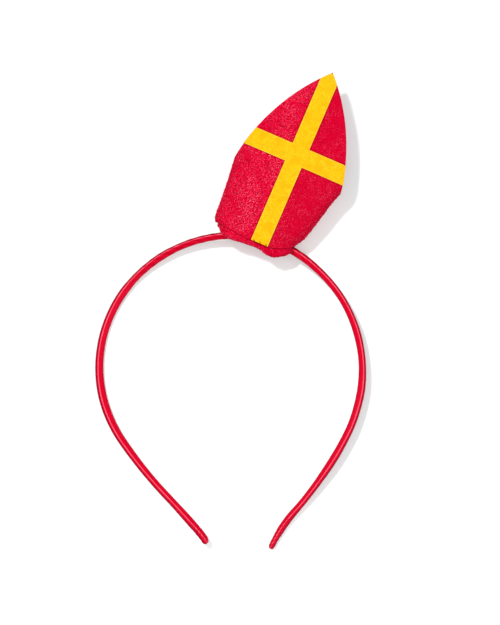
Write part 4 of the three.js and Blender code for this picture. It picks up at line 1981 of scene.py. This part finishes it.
@dataclass(frozen=True)
class Studio:
    """White paper floor, a lamp high on the left, a wide fill lamp, a sky, and the camera overhead."""

    floor: FloorFinish = field(default_factory=FloorFinish)
    floor_half: float = 30.0
    towards_lamp: tuple[float, float, float] = (-0.240, 0.325, 0.915)
    lamp_strength: float = 2.45
    lamp_angle: float = math.radians(5.0)
    towards_fill: tuple[float, float, float] = (0.6, -0.4, 0.69)
    fill_strength: float = 0.9
    fill_angle: float = math.radians(45.0)
    sky: float = 0.26
    box: float = 3.0
    box_edges: tuple[float, float] = (math.radians(24.0), math.radians(11.0))
    middle: tuple[float, float] = (10.905 * MM, 0.163 * MM)
    tilt: float = math.radians(-2.78)
    frame_height: float = 312.5 * MM
    lens: float = 600.0
    sensor: float = 36.0
    focus_level: float = 14 * MM

    def build(self) -> None:
        """Builds the floor, the light and the camera."""
        scene = bpy.context.scene
        scene.view_settings.view_transform = "Standard"
        size = self.floor_half
        corners = np.array([(-size, -size, 0), (size, -size, 0), (size, size, 0), (-size, size, 0)])
        floor = object_of(
            "floor", mesh_of("floor", corners, [(0, 1, 2, 3)]), self.floor.material()
        )
        self.add_lamp("lamp", self.towards_lamp, self.lamp_strength, self.lamp_angle)
        self.add_lamp("fill", self.towards_fill, self.fill_strength, self.fill_angle)
        self.make_sky(scene)
        camera = bpy.data.cameras.new("camera")
        camera.lens = self.lens
        camera.sensor_width = self.sensor
        distance = self.frame_height * self.lens / self.sensor
        camera.clip_start = 0.1
        camera.clip_end = 100.0
        camera_object = bpy.data.objects.new("camera", camera)
        camera_object.location = (*self.middle, self.focus_level + distance)
        camera_object.rotation_euler = (0.0, 0.0, self.tilt)
        scene.collection.objects.link(camera_object)
        scene.camera = camera_object

    @staticmethod
    def add_lamp(name: str, towards: tuple[float, float, float], strength: float, angle: float) -> None:
        """Adds a distant lamp.

        Args:
            name: the lamp's name.
            towards: direction from the object to the lamp.
            strength: its strength, in watts to a square metre.
            angle: how wide it looks from the object, in radians.
        """
        light = bpy.data.lights.new(name, "SUN")
        light.energy = strength
        light.angle = angle
        lamp = bpy.data.objects.new(name, light)
        lamp.rotation_mode = "QUATERNION"
        lamp.rotation_quaternion = Vector(towards).to_track_quat("Z", "Y")
        bpy.context.scene.collection.objects.link(lamp)

    def make_sky(self, scene: bpy.types.Scene) -> None:
        """A dim white sky with one wide soft box straight overhead.

        Args:
            scene: the scene that gets it.
        """
        world = bpy.data.worlds.new("sky")
        world.use_nodes = True
        tree = world.node_tree
        back = tree.nodes["Background"]
        back.inputs["Color"].default_value = (1.0, 1.0, 1.0, 1.0)
        place = tree.nodes.new("ShaderNodeTexCoord")
        split = tree.nodes.new("ShaderNodeSeparateXYZ")
        ramp = tree.nodes.new("ShaderNodeMapRange")
        ramp.interpolation_type = "SMOOTHSTEP"
        wide, full = (math.cos(edge) for edge in self.box_edges)
        for name, value in (
            ("From Min", wide), ("From Max", full), ("To Min", self.sky), ("To Max", self.box)
        ):
            ramp.inputs[name].default_value = value
        tree.links.new(place.outputs["Generated"], split.inputs[0])
        tree.links.new(split.outputs["Z"], ramp.inputs["Value"])
        tree.links.new(ramp.outputs["Result"], back.inputs["Strength"])
        scene.world = world


# All of it


def main() -> None:
    """Builds every piece."""
    logging.basicConfig(level=logging.INFO, format="%(message)s")
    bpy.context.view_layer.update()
    Studio().build()
    satin = SatinFinish(
        "red_satin", base=(0.6, 0.0005, 0.018), deep=(0.28, 0.0003, 0.011), pale=(1.0, 0.18, 0.27)
    ).material()
    band = Headband(satin)
    form = MitreForm(band)
    place = LocalFrame(tuple(form.origin), form.lean)
    red = FeltFinish(
        "red_felt",
        place,
        base=(0.7, 0.0, 0.031),
        deep=(0.27, 0.0, 0.006),
        pale=(1.0, 0.19, 0.32),
        sheen_share=(0.88, 0.3),
        mottle=(0.85, 0.65),
        cloudy=0.06,
        side_shade=(0.0, 0.32),
        painted_edge_line=0.75 * MM,
    ).material()
    yellow = FeltFinish(
        "yellow_felt",
        place,
        base=(0.88, 0.47, 0.005),
        deep=(0.66, 0.25, 0.001),
        pale=(0.9, 0.57, 0.08),
        sheen_share=(0.5, 0.5),
        mottle=(0.42, 0.42),
        cloudy=0.4,
        strand=1.6 * MM,
        pit=0.9 * MM,
        cloud=4 * MM,
        painted_edge_line=-0.5 * MM,
        bump=0.25,
    ).material()
    # The loose fibres are lighter than the felt: a painted sheen of fibres that catch the light
    fibre = ThreadFinish(
        "loose_fibre", base=(0.93, 0.08, 0.19), deep=(0.8, 0.025, 0.1)
    ).material()
    thread = ThreadFinish(
        "red_thread", base=(0.22, 0.001, 0.008), deep=(0.1, 0.0005, 0.003)
    ).material()

    band.build()
    walls = {face: FeltWall(form, face, red) for face in Face}
    built = {face: wall.build() for face, wall in walls.items()}
    cross_maker = FeltCross(form, yellow)
    cross = cross_maker.build()
    ticks = WhipStitch(
        thread, spacing=3.1 * MM, length=2.0 * MM, lean=math.radians(20), uneven=0.2, smallest=0.7
    ).sew("cross_foot_stitches", *cross_maker.foot_line())
    dress(ticks, Slot.RED_FELT)
    pad_maker = FeltPad(form, red)
    pad = pad_maker.build()

    extras: dict[Face, list] = {Face.FRONT: [cross], Face.BACK: []}
    for face, wall in walls.items():
        fuzz = Fuzz(fibre, seed=7 + face.value).grow(
            f"{face.name.lower()}_wall_fibres", wall.ground()
        )
        dress(fuzz, Slot.RED_FELT)
        extras[face].append(fuzz)
        stitches = WhipStitch(thread, seed=3 + face.value).sew(
            f"{face.name.lower()}_rim_stitches", *pad_maker.lip_line(160, face is Face.FRONT)
        )
        dress(stitches, Slot.RED_FELT)
    ground = pad.data.copy()
    high = np.array([v.co.z for v in ground.vertices])
    mark(ground, "nap", (high > 1.0 * MM).astype(float))
    dress(Fuzz(fibre, density=0.2e6, seed=19).grow("pad_fibres", ground), Slot.RED_FELT)


if __name__ == "__main__":
    main()
